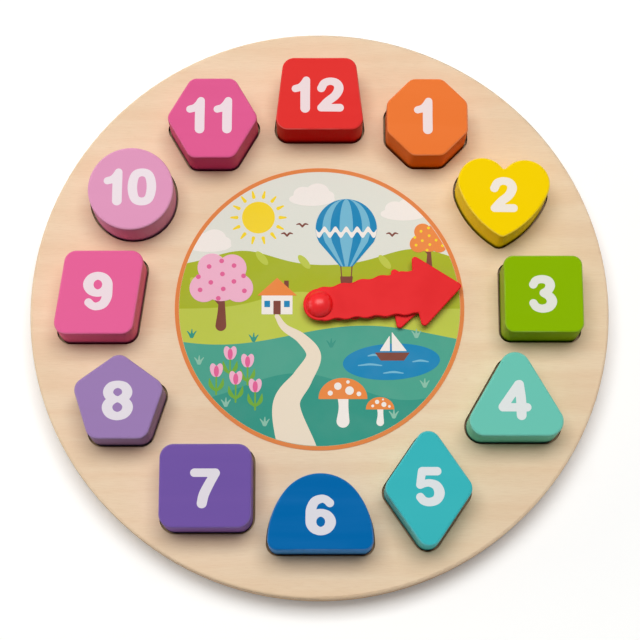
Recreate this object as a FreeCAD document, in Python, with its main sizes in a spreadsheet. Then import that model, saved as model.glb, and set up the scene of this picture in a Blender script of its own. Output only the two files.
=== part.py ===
"""Geared teaching clock: a round wooden face with twelve lift-out hour blocks.

The clock lies on its back. The origin is on the table under the middle of the boards, +Z points up
out of the face, +Y points at the twelve and +X at the three. Lengths are millimetres.
"""
import FreeCAD, Part
import math
import os
import Sketcher
from fcgear import fcgear, involute
from FreeCAD import Placement, Rotation, Vector

doc = FreeCAD.newDocument("TeachingClock")

# ---------------------------------------------------------------- driving dimensions

SIZES = {
    # the two glued boards
    "board_radius": (150, "outer radius of both boards"),
    "front_thickness": (6, "face board, cut through by the sockets"),
    "back_thickness": (12, "back board, which the blocks stand on"),
    "board_round": (1.5, "rounding of the two outer rims"),
    # the printed picture
    "label_radius": (75, "radius of the round picture"),
    "label_thickness": (0.3, "thickness of the round picture"),
    # the hour blocks: a core outline grown by its corner radius
    "block_thickness": (26, "height of every block"),
    "block_round": (1.1, "rounding of a block's top and bottom edges"),
    "socket_gap": (1.2, "play all round a block in its socket"),
    "corner": (6.3, "usual corner radius of a block"),
    "triangle_corner": (7.8, "corner radius of the triangle"),
    "rectangle_corner": (7, "corner radius of the rectangle"),
    "crisp_corner": (5.3, "corner radius of the octagon and the hexagon"),
    "tight_corner": (5, "corner radius of the square and the arch"),
    "heart_corner": (4, "radius of the heart's point"),
    "octagon_x": (56, "middle of the one block"),
    "octagon_y": (96.7, "middle of the one block"),
    "octagon_half": (15.7, "core reach to a straight side"),
    "octagon_flat": (5.9, "half the core length of that side"),
    "heart_x": (94.6, "middle of the two block"),
    "heart_y": (53.6, "middle of the two block"),
    "heart_lobe_x": (11, "middle of a lobe, across"),
    "heart_lobe_y": (7.7, "middle of a lobe, up"),
    "heart_lobe": (8.75, "core radius of a lobe"),
    "heart_cleft": (5.4, "core radius of the cleft between the lobes"),
    "heart_tip": (17.3, "core depth of the point below the middle"),
    "heart_side": (44, "core radius of the bowed sides"),
    "heart_turn": (-2.8, "turn of the two block in degrees"),
    "square_x": (113.9, "middle of the three block"),
    "square_y": (2.4, "middle of the three block"),
    "square_half": (15.1, "core half width"),
    "triangle_x": (98.6, "middle of the four block"),
    "triangle_y": (-53.7, "middle of the four block"),
    "triangle_reach": (18.2, "core distance from the middle to a corner"),
    "rhombus_x": (54.3, "middle of the five block"),
    "rhombus_y": (-96.6, "middle of the five block"),
    "rhombus_half_width": (15.3, "core half width"),
    "rhombus_half_height": (22.4, "core half height"),
    "arch_x": (0.5, "middle of the six block's foot"),
    "arch_y": (-122.4, "core foot of the six block"),
    "arch_half": (21.3, "core half width at the foot"),
    "arch_tall": (28.3, "core height"),
    "arch_crown": (17.5, "core radius of the crown"),
    "rectangle_x": (-56.7, "middle of the seven block"),
    "rectangle_y": (-95.4, "middle of the seven block"),
    "rectangle_half_width": (16, "core half width"),
    "rectangle_half_height": (14, "core half height"),
    "pentagon_x": (-101, "middle of the eight block"),
    "pentagon_y": (-52.2, "middle of the eight block"),
    "pentagon_reach": (16.7, "core distance from the middle to a corner"),
    "parallelogram_x": (-112.2, "middle of the nine block"),
    "parallelogram_y": (3.3, "middle of the nine block"),
    "parallelogram_half_width": (13.9, "core half width"),
    "parallelogram_half_height": (15.6, "core half height"),
    "parallelogram_lean": (2.1, "sideways lean of the top and of the foot"),
    "circle_x": (-97.3, "middle of the ten block"),
    "circle_y": (58, "middle of the ten block"),
    "circle_reach": (15.7, "core radius"),
    "hexagon_x": (-55.7, "middle of the eleven block"),
    "hexagon_y": (96.3, "middle of the eleven block"),
    "hexagon_reach": (17.8, "core distance from the middle to a side corner"),
    "hexagon_half_height": (16.4, "core half height"),
    "hexagon_flat": (8.3, "half the core length of the top side"),
    "trapezoid_x": (0, "middle of the twelve block"),
    "trapezoid_y": (109.6, "middle of the twelve block"),
    "trapezoid_half_top": (13.2, "core half width at the top"),
    "trapezoid_half_foot": (16.3, "core half width at the foot"),
    "trapezoid_half_height": (13.5, "core half height"),
    # the hands
    "hand_thickness": (2.2, "thickness of both hands"),
    "hand_round": (0.6, "rounding of the hands' edges"),
    "hand_corner": (1.8, "corner radius of the arrow heads"),
    "hour_level": (19.5, "underside of the hour hand"),
    "minute_level": (22.2, "underside of the minute hand"),
    "minute_angle": (7.8, "minute hand at rest, counted from +X in degrees"),
    "hour_angle": (5.4, "hour hand at rest, counted from +X in degrees"),
    "minute_start": (8.4, "half width of the minute hand at its pivot"),
    "minute_end": (11.8, "half width of the minute hand at its head"),
    "minute_reach": (51, "length of the minute hand's shaft"),
    "minute_barb": (16.6, "core half width of the minute head"),
    "minute_barb_at": (52.3, "core distance from the pivot to the barbs"),
    "minute_rear": (50.5, "core distance from the pivot to the head's rear"),
    "minute_tip": (72, "core distance from the pivot to the tip"),
    "hour_start": (7.8, "half width of the hour hand at its pivot"),
    "hour_end": (9.4, "half width of the hour hand at its head"),
    "hour_reach": (39, "length of the hour hand's shaft"),
    "hour_barb": (13.8, "core half width of the hour head"),
    "hour_barb_at": (40.3, "core distance from the pivot to the barbs"),
    "hour_rear": (39.5, "core distance from the pivot to the head's rear"),
    "hour_tip": (58, "core distance from the pivot to the tip"),
    "cap_radius": (6.8, "radius of the domed cap"),
    "cap_rim": (1.2, "straight rim of the domed cap"),
    "cap_dome": (3.8, "height of the dome above its rim"),
    "cap_socket": (2, "depth of the cap's blind hole"),
    # the motion work: fifteen to forty-five, then twelve to forty-eight teeth
    "gear_module": (1, "pitch diameter over the number of teeth"),
    "pressure_angle": (25, "pressure angle in degrees"),
    "minute_teeth": (15, "pinion on the minute arbor"),
    "idler_teeth": (45, "wheel that the minute pinion drives"),
    "pinion_teeth": (12, "pinion on the idler"),
    "hour_teeth": (48, "wheel under the hour hand"),
    "mesh_play": (0.25, "added to the pitch centre distance"),
    "gear_width": (3, "face width of a wheel"),
    "low_level": (4, "underside of the idler wheel and the minute pinion"),
    "high_level": (8, "underside of the hour wheel"),
    "pipe_radius": (4, "outside of the hour pipe"),
    "pipe_top": (21.9, "top end of the hour pipe"),
    "arbor_radius": (2.5, "minute arbor"),
    "arbor_foot": (1.3, "bottom end of the minute arbor"),
    "pivot_radius": (2, "foot pivot of the arbor, and the idler pin"),
    "pivot_top": (3, "height of the shoulder above the foot pivot"),
    "running_play": (0.05, "radial play of every turning fit"),
    "hub_radius": (7, "thrust face of the hour wheel"),
    "hub_top": (11.6, "height of the thrust faces under the face board"),
    "boss_radius": (4, "ends of the idler"),
    "boss_foot": (3, "bottom end of the idler"),
    "pin_foot": (0.9, "bottom end of the idler pin"),
    "pin_seat": (3, "depth of the idler pin in the face board"),
    "bush_radius": (5.6, "barrel of the flanged bush"),
    "flange_radius": (7, "flange of the bush"),
    "flange_thickness": (0.8, "flange of the bush"),
    # the gear space and its cover
    "space_radius": (58, "gear space in the back board"),
    "rebate_radius": (66, "rebate for the cover"),
    "rebate_depth": (2.5, "rebate for the cover"),
    "cover_radius": (65.6, "round cover"),
    "cover_thickness": (2.2, "round cover"),
    "screw_circle": (62, "distance of the screws from the middle"),
    "screw_radius": (1.45, "shank of a screw"),
    "screw_length": (8.2, "length of a screw"),
    "screw_hole": (1.7, "clearance hole in the cover"),
    "screw_head": (3, "radius of a countersunk head"),
    "slot_width": (0.8, "driver slot of a screw"),
    "slot_depth": (0.9, "driver slot of a screw"),
    "felt_bore": (2.8, "hole of the felt washer"),
    "felt_radius": (7, "outside of the felt washer"),
    "felt_thickness": (1, "thickness of the felt washer"),
}

sheet = doc.addObject("Spreadsheet::Sheet", "dims")
for row, (alias, (amount, meaning)) in enumerate(SIZES.items(), 1):
    sheet.set(f"A{row}", alias)
    sheet.set(f"B{row}", str(amount))
    sheet.set(f"C{row}", meaning)
    sheet.setAlias(f"B{row}", alias)
doc.recompute()

# Sizes that follow from the sheet, as expressions that objects are bound to.
FACE_TOP = "(dims.back_thickness + dims.front_thickness)"
LABEL_TOP = f"({FACE_TOP} + dims.label_thickness)"
COVER_LEVEL = "(dims.rebate_depth - dims.cover_thickness)"
GEAR_SPACING = "(dims.gear_module * (dims.hour_teeth + dims.pinion_teeth) / 2 + dims.mesh_play)"
CAP_LEVEL = "(dims.minute_level + dims.hand_thickness)"
OVERCUT = 1
SCREW_COUNT = 4


def value(expression):
    """Work out an expression of sheet sizes as a plain number."""
    return float(sheet.evalExpression(str(expression)))


# ---------------------------------------------------------------- sketch helpers

def constrain(sketch, kind, *places, to=None):
    """Add one constraint and, where it has a size, bind that size to an expression."""
    if to is None:
        sketch.addConstraint(Sketcher.Constraint(kind, *places))
        return
    number = sketch.addConstraint(Sketcher.Constraint(kind, *places, value(to)))
    sketch.setExpression(f"Constraints[{number}]", str(to))


def pin_point(sketch, curve, end, x, y):
    """Hold one point of a curve at (x, y) from the sketch's origin."""
    constrain(sketch, "DistanceX", -1, 1, curve, end, to=x)
    constrain(sketch, "DistanceY", -1, 1, curve, end, to=y)


def draw_corners(sketch, corners):
    """Closed outline of straight lines through corners given as pairs of expressions."""
    points = [Vector(value(x), value(y), 0) for x, y in corners]
    last = len(points) - 1
    first_line = sketch.GeometryCount
    for number, start in enumerate(points):
        end = points[0] if number == last else points[number + 1]
        sketch.addGeometry(Part.LineSegment(start, end))
    for number, (x, y) in enumerate(corners):
        following = first_line if number == last else first_line + number + 1
        constrain(sketch, "Coincident", first_line + number, 2, following, 1)
        pin_point(sketch, first_line + number, 1, x, y)
    return sketch


def draw_circle(sketch, radius, x="0", y="0"):
    """Full circle, bound to a radius and a middle."""
    centre = Vector(value(x), value(y), 0)
    number = sketch.addGeometry(Part.Circle(centre, Vector(0, 0, 1), value(radius)))
    constrain(sketch, "Radius", number, to=radius)
    pin_point(sketch, number, 3, x, y)
    return sketch


def arc(centre, radius, start, end):
    """Arc of a circle, counter-clockwise between two angles in radians."""
    return Part.ArcOfCircle(Part.Circle(centre, Vector(0, 0, 1), radius), start, end)


# ---------------------------------------------------------------- feature helpers

def new_body(label):
    return doc.addObject("PartDesign::Body", label)


def origin_plane(body, role):
    return next(feature for feature in body.Origin.OriginFeatures if feature.Role == role)


def body_sketch(body, name, level="0", role="XY_Plane"):
    """Sketch on one of the body's own planes, moved along its normal to a level."""
    sketch = body.newObject("Sketcher::SketchObject", name)
    sketch.AttachmentSupport = [(origin_plane(body, role), "")]
    sketch.MapMode = "FlatFace"
    sketch.setExpression("AttachmentOffset.Base.z", level)
    return sketch


def pad(body, sketch, length):
    feature = body.newObject("PartDesign::Pad", sketch.Name + "_pad")
    feature.Profile = sketch
    feature.setExpression("Length", length)
    doc.recompute()
    return feature


def pocket(body, sketch, depth, upwards=False):
    """Cut a sketch into the body, down from its level or, for a cut from below, upwards."""
    before = body.Shape.Volume
    feature = body.newObject("PartDesign::Pocket", sketch.Name + "_pocket")
    feature.Profile = sketch
    feature.Reversed = upwards
    feature.setExpression("Length", depth)
    doc.recompute()
    if body.Shape.Volume >= before:
        raise RuntimeError(f"{feature.Name} cuts nothing")
    return feature


def revolve(body, profile):
    """Turn a half section, given as (radius, height) corners, about the body's Z axis."""
    sketch = draw_corners(body_sketch(body, body.Name + "_section", role="XZ_Plane"), profile)
    return turn(body, sketch)


def turn(body, sketch):
    feature = body.newObject("PartDesign::Revolution", body.Name + "_turned")
    feature.Profile = sketch
    feature.ReferenceAxis = (sketch, ["V_Axis"])
    feature.Angle = 360
    doc.recompute()
    return feature


def round_edges(body, wanted, radius):
    """Fillet the edges of the body's last feature that a test picks."""
    tip = body.Tip
    names = [f"Edge{n}" for n, edge in enumerate(tip.Shape.Edges, 1) if wanted(edge)]
    feature = body.newObject("PartDesign::Fillet", body.Name + "_round")
    feature.Base = (tip, names)
    feature.setExpression("Radius", radius)
    doc.recompute()
    return feature


def flat_edge(edge):
    """True for an edge that lies in one level, such as the rim of a plate's face."""
    return edge.BoundBox.ZLength < 1e-4


def circle_edge(radius, level):
    """Test for the circular edge of a given radius at a given height."""
    def wanted(edge):
        round_one = edge.Curve.TypeId == "Part::GeomCircle"
        return (round_one and abs(edge.Curve.Radius - value(radius)) < 1e-4
                and abs(edge.CenterOfMass.z - value(level)) < 1e-4)
    return wanted


def body_around(label, solid):
    """Body that starts from a finished solid, so that PartDesign features can follow."""
    body = new_body(label)
    body.BaseFeature = solid
    doc.recompute()
    return body


def lift(thing, level, x="0", y="0"):
    """Bind where an object stands."""
    thing.setExpression("Placement.Base.x", x)
    thing.setExpression("Placement.Base.y", y)
    thing.setExpression("Placement.Base.z", level)
    return thing


def swing(thing, angle):
    """Bind how far an object is turned about its own upright axis."""
    thing.Placement = Placement(Vector(0, 0, 0), Rotation(Vector(0, 0, 1), value(angle)))
    thing.setExpression("Placement.Rotation.Angle", angle)
    return thing


def cylinder(name, radius, height, level="0", x="0", y="0"):
    """Upright Part cylinder, bound to its radius, height and place."""
    solid = doc.addObject("Part::Cylinder", name)
    solid.setExpression("Radius", radius)
    solid.setExpression("Height", height)
    return lift(solid, level, x, y)


def grown_outline(name, core, growth):
    """Outline a fixed distance outside a core outline, with its corners rounded."""
    outline = doc.addObject("Part::Offset2D", name)
    outline.Source = core
    outline.Join = "Arc"
    outline.setExpression("Value", growth)
    return outline


def prism(name, outline, height, level="0"):
    """Straight upright solid on an outline."""
    solid = doc.addObject("Part::Extrusion", name)
    solid.Base = outline
    solid.DirMode = "Custom"
    solid.Dir = Vector(0, 0, 1)
    solid.Solid = True
    solid.setExpression("LengthFwd", height)
    return lift(solid, level)


def fuse(name, solids):
    joined = doc.addObject("Part::MultiFuse", name)
    joined.Shapes = solids
    joined.Refine = True
    return joined


def cut(name, base, tool):
    result = doc.addObject("Part::Cut", name)
    result.Base = base
    result.Tool = tool
    result.Refine = True
    return result


# ---------------------------------------------------------------- core outlines of the blocks

def core_sketch(shape):
    return doc.addObject("Sketcher::SketchObject", shape + "_core")


def regular_corners(reach, count, first):
    """Corners of a regular polygon, counted round from a first angle in degrees."""
    angles = [first + 360 * number / count for number in range(count)]
    return [(f"{reach} * cos({angle})", f"{reach} * sin({angle})") for angle in angles]


def four_corners(half_top, half_foot, half_height, lean="0"):
    """Corners of a four-sided outline with level top and foot, both moved by its lean."""
    return [
        (f"{half_top} + {lean}", half_height),
        (f"-{half_top} + {lean}", half_height),
        (f"-{half_foot} - {lean}", f"-{half_height}"),
        (f"{half_foot} - {lean}", f"-{half_height}"),
    ]


def octagon_corners():
    """Square with its corners cut: eight corners, two to each straight side."""
    long, short = "dims.octagon_half", "dims.octagon_flat"
    quarter = [(long, short), (short, long)]
    left = [(f"-{x}", y) for x, y in reversed(quarter)]
    lower = [(f"-{x}", f"-{y}") for x, y in quarter]
    right = [(x, f"-{y}") for x, y in reversed(quarter)]
    return quarter + left + lower + right


CORNERED = {
    "octagon": octagon_corners(),
    "square": four_corners("dims.square_half", "dims.square_half", "dims.square_half"),
    "triangle": regular_corners("dims.triangle_reach", 3, 90),
    "rhombus": [
        ("dims.rhombus_half_width", "0"),
        ("0", "dims.rhombus_half_height"),
        ("-dims.rhombus_half_width", "0"),
        ("0", "-dims.rhombus_half_height"),
    ],
    "rectangle": four_corners(
        "dims.rectangle_half_width", "dims.rectangle_half_width", "dims.rectangle_half_height"),
    "pentagon": regular_corners("dims.pentagon_reach", 5, 90),
    "parallelogram": four_corners(
        "dims.parallelogram_half_width", "dims.parallelogram_half_width",
        "dims.parallelogram_half_height", "dims.parallelogram_lean"),
    "hexagon": [
        ("dims.hexagon_reach", "0"),
        ("dims.hexagon_flat", "dims.hexagon_half_height"),
        ("-dims.hexagon_flat", "dims.hexagon_half_height"),
        ("-dims.hexagon_reach", "0"),
        ("-dims.hexagon_flat", "-dims.hexagon_half_height"),
        ("dims.hexagon_flat", "-dims.hexagon_half_height"),
    ],
    "trapezoid": four_corners(
        "dims.trapezoid_half_top", "dims.trapezoid_half_foot", "dims.trapezoid_half_height"),
}


def arch_core():
    """Three-centred arch: two side arcs that spring from the foot and a smaller crown arc."""
    sketch = core_sketch("arch")
    half, crown = value("dims.arch_half"), value("dims.arch_crown")
    rise = value("dims.arch_tall") - crown
    side = (half**2 + rise**2 - crown**2) / (2 * (half - crown))
    swing = math.atan2(rise, side - half)
    sketch.addGeometry(arc(Vector(half - side, 0, 0), side, 0, swing))
    sketch.addGeometry(arc(Vector(0, rise, 0), crown, swing, math.pi - swing))
    sketch.addGeometry(arc(Vector(side - half, 0, 0), side, math.pi - swing, math.pi))
    sketch.addGeometry(Part.LineSegment(Vector(-half, 0, 0), Vector(half, 0, 0)))
    constrain(sketch, "Tangent", 0, 2, 1, 1)
    constrain(sketch, "Tangent", 1, 2, 2, 1)
    constrain(sketch, "Coincident", 2, 2, 3, 1)
    constrain(sketch, "Coincident", 3, 2, 0, 1)
    constrain(sketch, "PointOnObject", 0, 3, -1)
    constrain(sketch, "PointOnObject", 2, 3, -1)
    constrain(sketch, "Radius", 1, to="dims.arch_crown")
    pin_point(sketch, 1, 3, "0", "dims.arch_tall - dims.arch_crown")
    pin_point(sketch, 3, 1, "-dims.arch_half", "0")
    pin_point(sketch, 3, 2, "dims.arch_half", "0")
    return sketch


def heart_core():
    """Heart: round lobes, a rounded cleft between them, and bowed sides to the point.

    The arcs touch where they meet. The cleft's middle is both radii away from a lobe's middle. A
    side arc passes through the point and touches its lobe from outside, so the middle of the side
    arc is where a circle about the point meets a smaller circle about the lobe's middle.
    """
    sketch = core_sketch("heart")
    lobe = Vector(value("dims.heart_lobe_x"), value("dims.heart_lobe_y"), 0)
    point = Vector(0, -value("dims.heart_tip"), 0)
    lobe_radius, side_radius = value("dims.heart_lobe"), value("dims.heart_side")
    cleft_radius = value("dims.heart_cleft")
    cleft = lobe + Vector(-lobe.x, math.sqrt((lobe_radius + cleft_radius)**2 - lobe.x**2), 0)

    span = lobe - point
    near = side_radius - lobe_radius
    along = (span.Length**2 + side_radius**2 - near**2) / (2 * span.Length)
    across = math.sqrt(side_radius**2 - along**2)
    unit = span / span.Length
    side_middle = point + unit * along + Vector(-unit.y, unit.x, 0) * across

    lobe_low = math.atan2((lobe - side_middle).y, (lobe - side_middle).x)
    lobe_high = math.atan2((cleft - lobe).y, (cleft - lobe).x)
    side_low = math.atan2((point - side_middle).y, (point - side_middle).x)

    mirrored = Vector(-lobe.x, lobe.y, 0)
    side_mirrored = Vector(-side_middle.x, side_middle.y, 0)
    sketch.addGeometry(arc(cleft, cleft_radius, -lobe_high, lobe_high - math.pi))
    sketch.addGeometry(arc(lobe, lobe_radius, lobe_low, lobe_high))
    sketch.addGeometry(arc(side_middle, side_radius, side_low, lobe_low))
    sketch.addGeometry(arc(side_mirrored, side_radius, math.pi - lobe_low, math.pi - side_low))
    sketch.addGeometry(arc(mirrored, lobe_radius, math.pi - lobe_high, math.pi - lobe_low))
    constrain(sketch, "Tangent", 0, 2, 1, 2)
    constrain(sketch, "Tangent", 1, 1, 2, 2)
    constrain(sketch, "Coincident", 2, 1, 3, 2)
    constrain(sketch, "Tangent", 3, 1, 4, 2)
    constrain(sketch, "Tangent", 4, 1, 0, 1)
    constrain(sketch, "Radius", 0, to="dims.heart_cleft")
    pin_point(sketch, 2, 1, "0", "-dims.heart_tip")
    for number, side in ((1, ""), (4, "-")):
        constrain(sketch, "Radius", number, to="dims.heart_lobe")
        pin_point(sketch, number, 3, f"{side}dims.heart_lobe_x", "dims.heart_lobe_y")
    for number in (2, 3):
        constrain(sketch, "Radius", number, to="dims.heart_side")
    return sketch


def core_outline(shape):
    """Core outline of one block, about its own middle."""
    if shape == "arch":
        return arch_core()
    if shape == "heart":
        return heart_core()
    if shape == "circle":
        return draw_circle(core_sketch(shape), "dims.circle_reach")
    return draw_corners(core_sketch(shape), CORNERED[shape])


# ---------------------------------------------------------------- hour blocks and their sockets

BLOCK_SHAPES = [
    "octagon", "heart", "square", "triangle", "rhombus", "arch",
    "rectangle", "pentagon", "parallelogram", "circle", "hexagon", "trapezoid",
]
CORNER_SIZES = {
    "octagon": "dims.crisp_corner",
    "hexagon": "dims.crisp_corner",
    "triangle": "dims.triangle_corner",
    "rectangle": "dims.rectangle_corner",
    "square": "dims.tight_corner",
    "arch": "dims.tight_corner",
    "heart": "dims.heart_corner",
}
TURNS = {"heart": "dims.heart_turn"}

nodes = {}
sockets = []
for hour, shape in enumerate(BLOCK_SHAPES, 1):
    core = core_outline(shape)
    corner = CORNER_SIZES.get(shape, "dims.corner")
    middle_x, middle_y = f"dims.{shape}_x", f"dims.{shape}_y"

    outline = grown_outline(shape + "_outline", core, corner)
    upright = prism(shape + "_prism", outline, "dims.block_thickness")
    block = body_around(f"block_{hour:02d}_{shape}", upright)
    round_edges(block, flat_edge, "dims.block_round")

    socket_outline = grown_outline(shape + "_socket_outline", core, f"{corner} + dims.socket_gap")
    socket = prism(shape + "_socket", socket_outline, f"dims.front_thickness + {2 * OVERCUT}")
    if shape in TURNS:
        swing(block, TURNS[shape])
        swing(socket, TURNS[shape])
    nodes[block.Label] = lift(block, "dims.back_thickness", middle_x, middle_y)
    sockets.append(lift(socket, f"-{OVERCUT}", middle_x, middle_y))


# ---------------------------------------------------------------- boards and picture

def make_front_board():
    """Face board: twelve sockets right through, a bore for the bush, a blind seat for the pin."""
    blank = new_body("front_blank")
    disc = draw_circle(body_sketch(blank, "front_disc"), "dims.board_radius")
    draw_circle(disc, "dims.bush_radius")
    pad(blank, disc, "dims.front_thickness")
    seat = draw_circle(body_sketch(blank, "pin_seat"), "dims.pivot_radius", GEAR_SPACING)
    pocket(blank, seat, "dims.pin_seat", upwards=True)
    pattern = doc.addObject("Part::Compound", "socket_pattern")
    pattern.Links = sockets
    board = body_around("front_board", cut("front_with_sockets", blank, pattern))
    round_edges(board, circle_edge("dims.board_radius", "dims.front_thickness"), "dims.board_round")
    return lift(board, "dims.back_thickness")


def screw_places():
    """Middle of each cover screw, as pairs of expressions."""
    first = 180 / SCREW_COUNT
    return regular_corners("dims.screw_circle", SCREW_COUNT, first)


def make_back_board():
    """Back board: the gear space, the rebate that the cover lies in, and the screws' holes."""
    board = new_body("back_board")
    disc = draw_circle(body_sketch(board, "back_disc"), "dims.board_radius")
    draw_circle(disc, "dims.space_radius")
    pad(board, disc, "dims.back_thickness")
    rebate = draw_circle(body_sketch(board, "rebate"), "dims.rebate_radius")
    pocket(board, rebate, "dims.rebate_depth", upwards=True)
    holes = body_sketch(board, "screw_holes", "dims.rebate_depth")
    for x, y in screw_places():
        draw_circle(holes, "dims.screw_radius", x, y)
    pocket(board, holes, "dims.screw_length", upwards=True)
    round_edges(board, circle_edge("dims.board_radius", "0"), "dims.board_round")
    return board


def make_picture_label():
    """Round printed picture with a hole for the bush."""
    label = new_body("picture_label")
    disc = draw_circle(body_sketch(label, "label_disc"), "dims.label_radius")
    draw_circle(disc, "dims.bush_radius")
    pad(label, disc, "dims.label_thickness")
    return lift(label, FACE_TOP)


# ---------------------------------------------------------------- hands

WAVES = 5
WAVE_HEIGHT = 0.45


def wavy_shaft(name, start, end, reach):
    """Face of a hand's shaft: round behind the pivot, then two waved edges that spread.

    Each waved edge is a chain of equal arcs on a straight line. They bow outwards and inwards in
    turn, by the wave height, so neighbours share their tangent.
    """
    half_start, half_end, length = value(start), value(end), value(reach)
    count = 2 * WAVES
    knots = [Vector(length * n / count, half_start + (half_end - half_start) * n / count, 0)
             for n in range(count + 1)]
    slope = math.atan2(half_end - half_start, length)
    outwards = Vector(-math.sin(slope), math.cos(slope), 0) * WAVE_HEIGHT

    def mirrored(point):
        return Vector(point.x, -point.y, 0)

    edges = [Part.Arc(mirrored(knots[0]), Vector(-half_start, 0, 0), knots[0])]
    lower = []
    for number in range(count):
        left, right = knots[number], knots[number + 1]
        crest = (left + right) / 2 + outwards * (1 if number % 2 == 0 else -1)
        edges.append(Part.Arc(left, crest, right))
        lower.append(Part.Arc(mirrored(right), mirrored(crest), mirrored(left)))
    edges.append(Part.LineSegment(knots[-1], mirrored(knots[-1])))
    edges.extend(reversed(lower))
    face = doc.addObject("Part::Feature", name)
    face.Shape = Part.Wire([edge.toShape() for edge in edges])
    return face


def make_hand(label, hand, bore, level, angle):
    """Flat arrow: a waved shaft joined to a head, with a hole at its pivot."""
    size = f"dims.{hand}_"
    shaft_outline = wavy_shaft(f"{hand}_shaft_outline", size + "start", size + "end", size + "reach")
    shaft = prism(f"{hand}_shaft", shaft_outline, "dims.hand_thickness")
    head_core = draw_corners(core_sketch(f"{hand}_head"), [
        (size + "tip", "0"),
        (size + "barb_at", size + "barb"),
        (size + "rear", "0"),
        (size + "barb_at", f"-{size}barb"),
    ])
    head_outline = grown_outline(f"{hand}_head_outline", head_core, "dims.hand_corner")
    head = prism(f"{hand}_head", head_outline, "dims.hand_thickness")
    arrow = fuse(f"{hand}_arrow", [shaft, head])
    hole = cylinder(f"{hand}_hole", bore, f"dims.hand_thickness + {2 * OVERCUT}", f"-{OVERCUT}")
    body = body_around(label, cut(f"{hand}_drilled", arrow, hole))

    def rim(edge):
        inside = edge.BoundBox.DiagonalLength < 3 * value(bore)
        return flat_edge(edge) and not (inside and edge.CenterOfMass.Length < value(bore) + 1)

    round_edges(body, rim, "dims.hand_round")
    return lift(swing(body, angle), level)


def make_hand_cap():
    """Domed cap with a short straight rim and a blind hole for the arbor."""
    cap = new_body("hand_cap")
    rim, dome, radius = value("dims.cap_rim"), value("dims.cap_dome"), value("dims.cap_radius")
    sphere = (radius**2 + dome**2) / (2 * dome)
    middle = Vector(0, rim + dome - sphere, 0)
    hole, depth = value("dims.arbor_radius"), value("dims.cap_socket")
    corners = [(0, depth), (hole, depth), (hole, 0), (radius, 0), (radius, rim)]
    points = [Vector(x, y, 0) for x, y in corners]
    top = Vector(0, rim + dome, 0)
    sketch = body_sketch(cap, "cap_section", role="XZ_Plane")
    for start, end in zip(points, points[1:]):
        sketch.addGeometry(Part.LineSegment(start, end))
    sketch.addGeometry(arc(middle, sphere, math.atan2(rim - middle.y, radius), math.pi / 2))
    sketch.addGeometry(Part.LineSegment(top, points[0]))
    for number in range(3):
        constrain(sketch, "Coincident", number, 2, number + 1, 1)
    constrain(sketch, "Coincident", 3, 2, 4, 1)
    constrain(sketch, "Coincident", 4, 2, 5, 1)
    constrain(sketch, "Coincident", 5, 2, 0, 1)
    constrain(sketch, "PointOnObject", 4, 3, -2)
    pin_point(sketch, 0, 1, "0", "dims.cap_socket")
    pin_point(sketch, 1, 1, "dims.arbor_radius", "dims.cap_socket")
    pin_point(sketch, 2, 1, "dims.arbor_radius", "0")
    pin_point(sketch, 3, 1, "dims.cap_radius", "0")
    pin_point(sketch, 3, 2, "dims.cap_radius", "dims.cap_rim")
    pin_point(sketch, 4, 2, "0", "dims.cap_rim + dims.cap_dome")
    turn(cap, sketch)
    return lift(cap, CAP_LEVEL)


# ---------------------------------------------------------------- motion work

def gear(name, teeth, height, level="0"):
    """Spur gear with involute teeth, the first of them centred on +X."""
    builder = fcgear.FCWireBuilder()
    involute.CreateExternalGear(
        builder, value("dims.gear_module"), int(value(teeth)), value("dims.pressure_angle"),
        split=False)
    outline = doc.addObject("Part::Feature", name + "_outline")
    outline.Shape = Part.Wire([curve.toShape() for curve in builder.wire])
    return prism(name, outline, height, level)


def make_minute_arbor():
    """Arbor through the hour pipe, with its pinion moulded on and a thinner pivot at its foot."""
    pivot = cylinder(
        "arbor_pivot", "dims.pivot_radius", "dims.pivot_top - dims.arbor_foot", "dims.arbor_foot")
    tip = f"{CAP_LEVEL} + dims.cap_socket"
    rod = cylinder("arbor_rod", "dims.arbor_radius", f"{tip} - dims.pivot_top", "dims.pivot_top")
    pinion = gear("minute_pinion", "dims.minute_teeth", "dims.gear_width", "dims.low_level")
    return fuse("minute_arbor", [pivot, rod, pinion])


def make_hour_wheel():
    """Wheel with a thrust hub and the long pipe that carries the hour hand."""
    wheel = gear("hour_gear", "dims.hour_teeth", "dims.gear_width", "dims.high_level")
    hub = cylinder("hour_hub", "dims.hub_radius", "dims.hub_top - dims.high_level", "dims.high_level")
    pipe = cylinder(
        "hour_pipe", "dims.pipe_radius", "dims.pipe_top - dims.high_level", "dims.high_level")
    bore = cylinder(
        "pipe_bore", "dims.arbor_radius + dims.running_play",
        f"dims.pipe_top - dims.high_level + {2 * OVERCUT}", f"dims.high_level - {OVERCUT}")
    return cut("hour_wheel", fuse("hour_wheel_blank", [wheel, hub, pipe]), bore)


def make_idler_wheel():
    """Large wheel and small pinion in one piece, turned half a pinion tooth against each other."""
    wheel = gear("idler_gear", "dims.idler_teeth", "dims.gear_width", "dims.low_level")
    pinion_level = "dims.low_level + dims.gear_width"
    pinion = gear(
        "idler_pinion", "dims.pinion_teeth",
        f"dims.high_level + dims.gear_width - ({pinion_level})", pinion_level)
    half_tooth = "180 / dims.pinion_teeth"
    pinion.Placement = Placement(Vector(0, 0, 0), Rotation(Vector(0, 0, 1), value(half_tooth)))
    pinion.setExpression("Placement.Rotation.Angle", half_tooth)
    boss = cylinder("idler_boss", "dims.boss_radius", "dims.hub_top - dims.boss_foot", "dims.boss_foot")
    bore = cylinder(
        "idler_bore", "dims.pivot_radius + dims.running_play",
        f"dims.hub_top - dims.boss_foot + {2 * OVERCUT}", f"dims.boss_foot - {OVERCUT}")
    idler = cut("idler_wheel", fuse("idler_blank", [wheel, pinion, boss]), bore)
    return lift(idler, "0", GEAR_SPACING)


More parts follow.
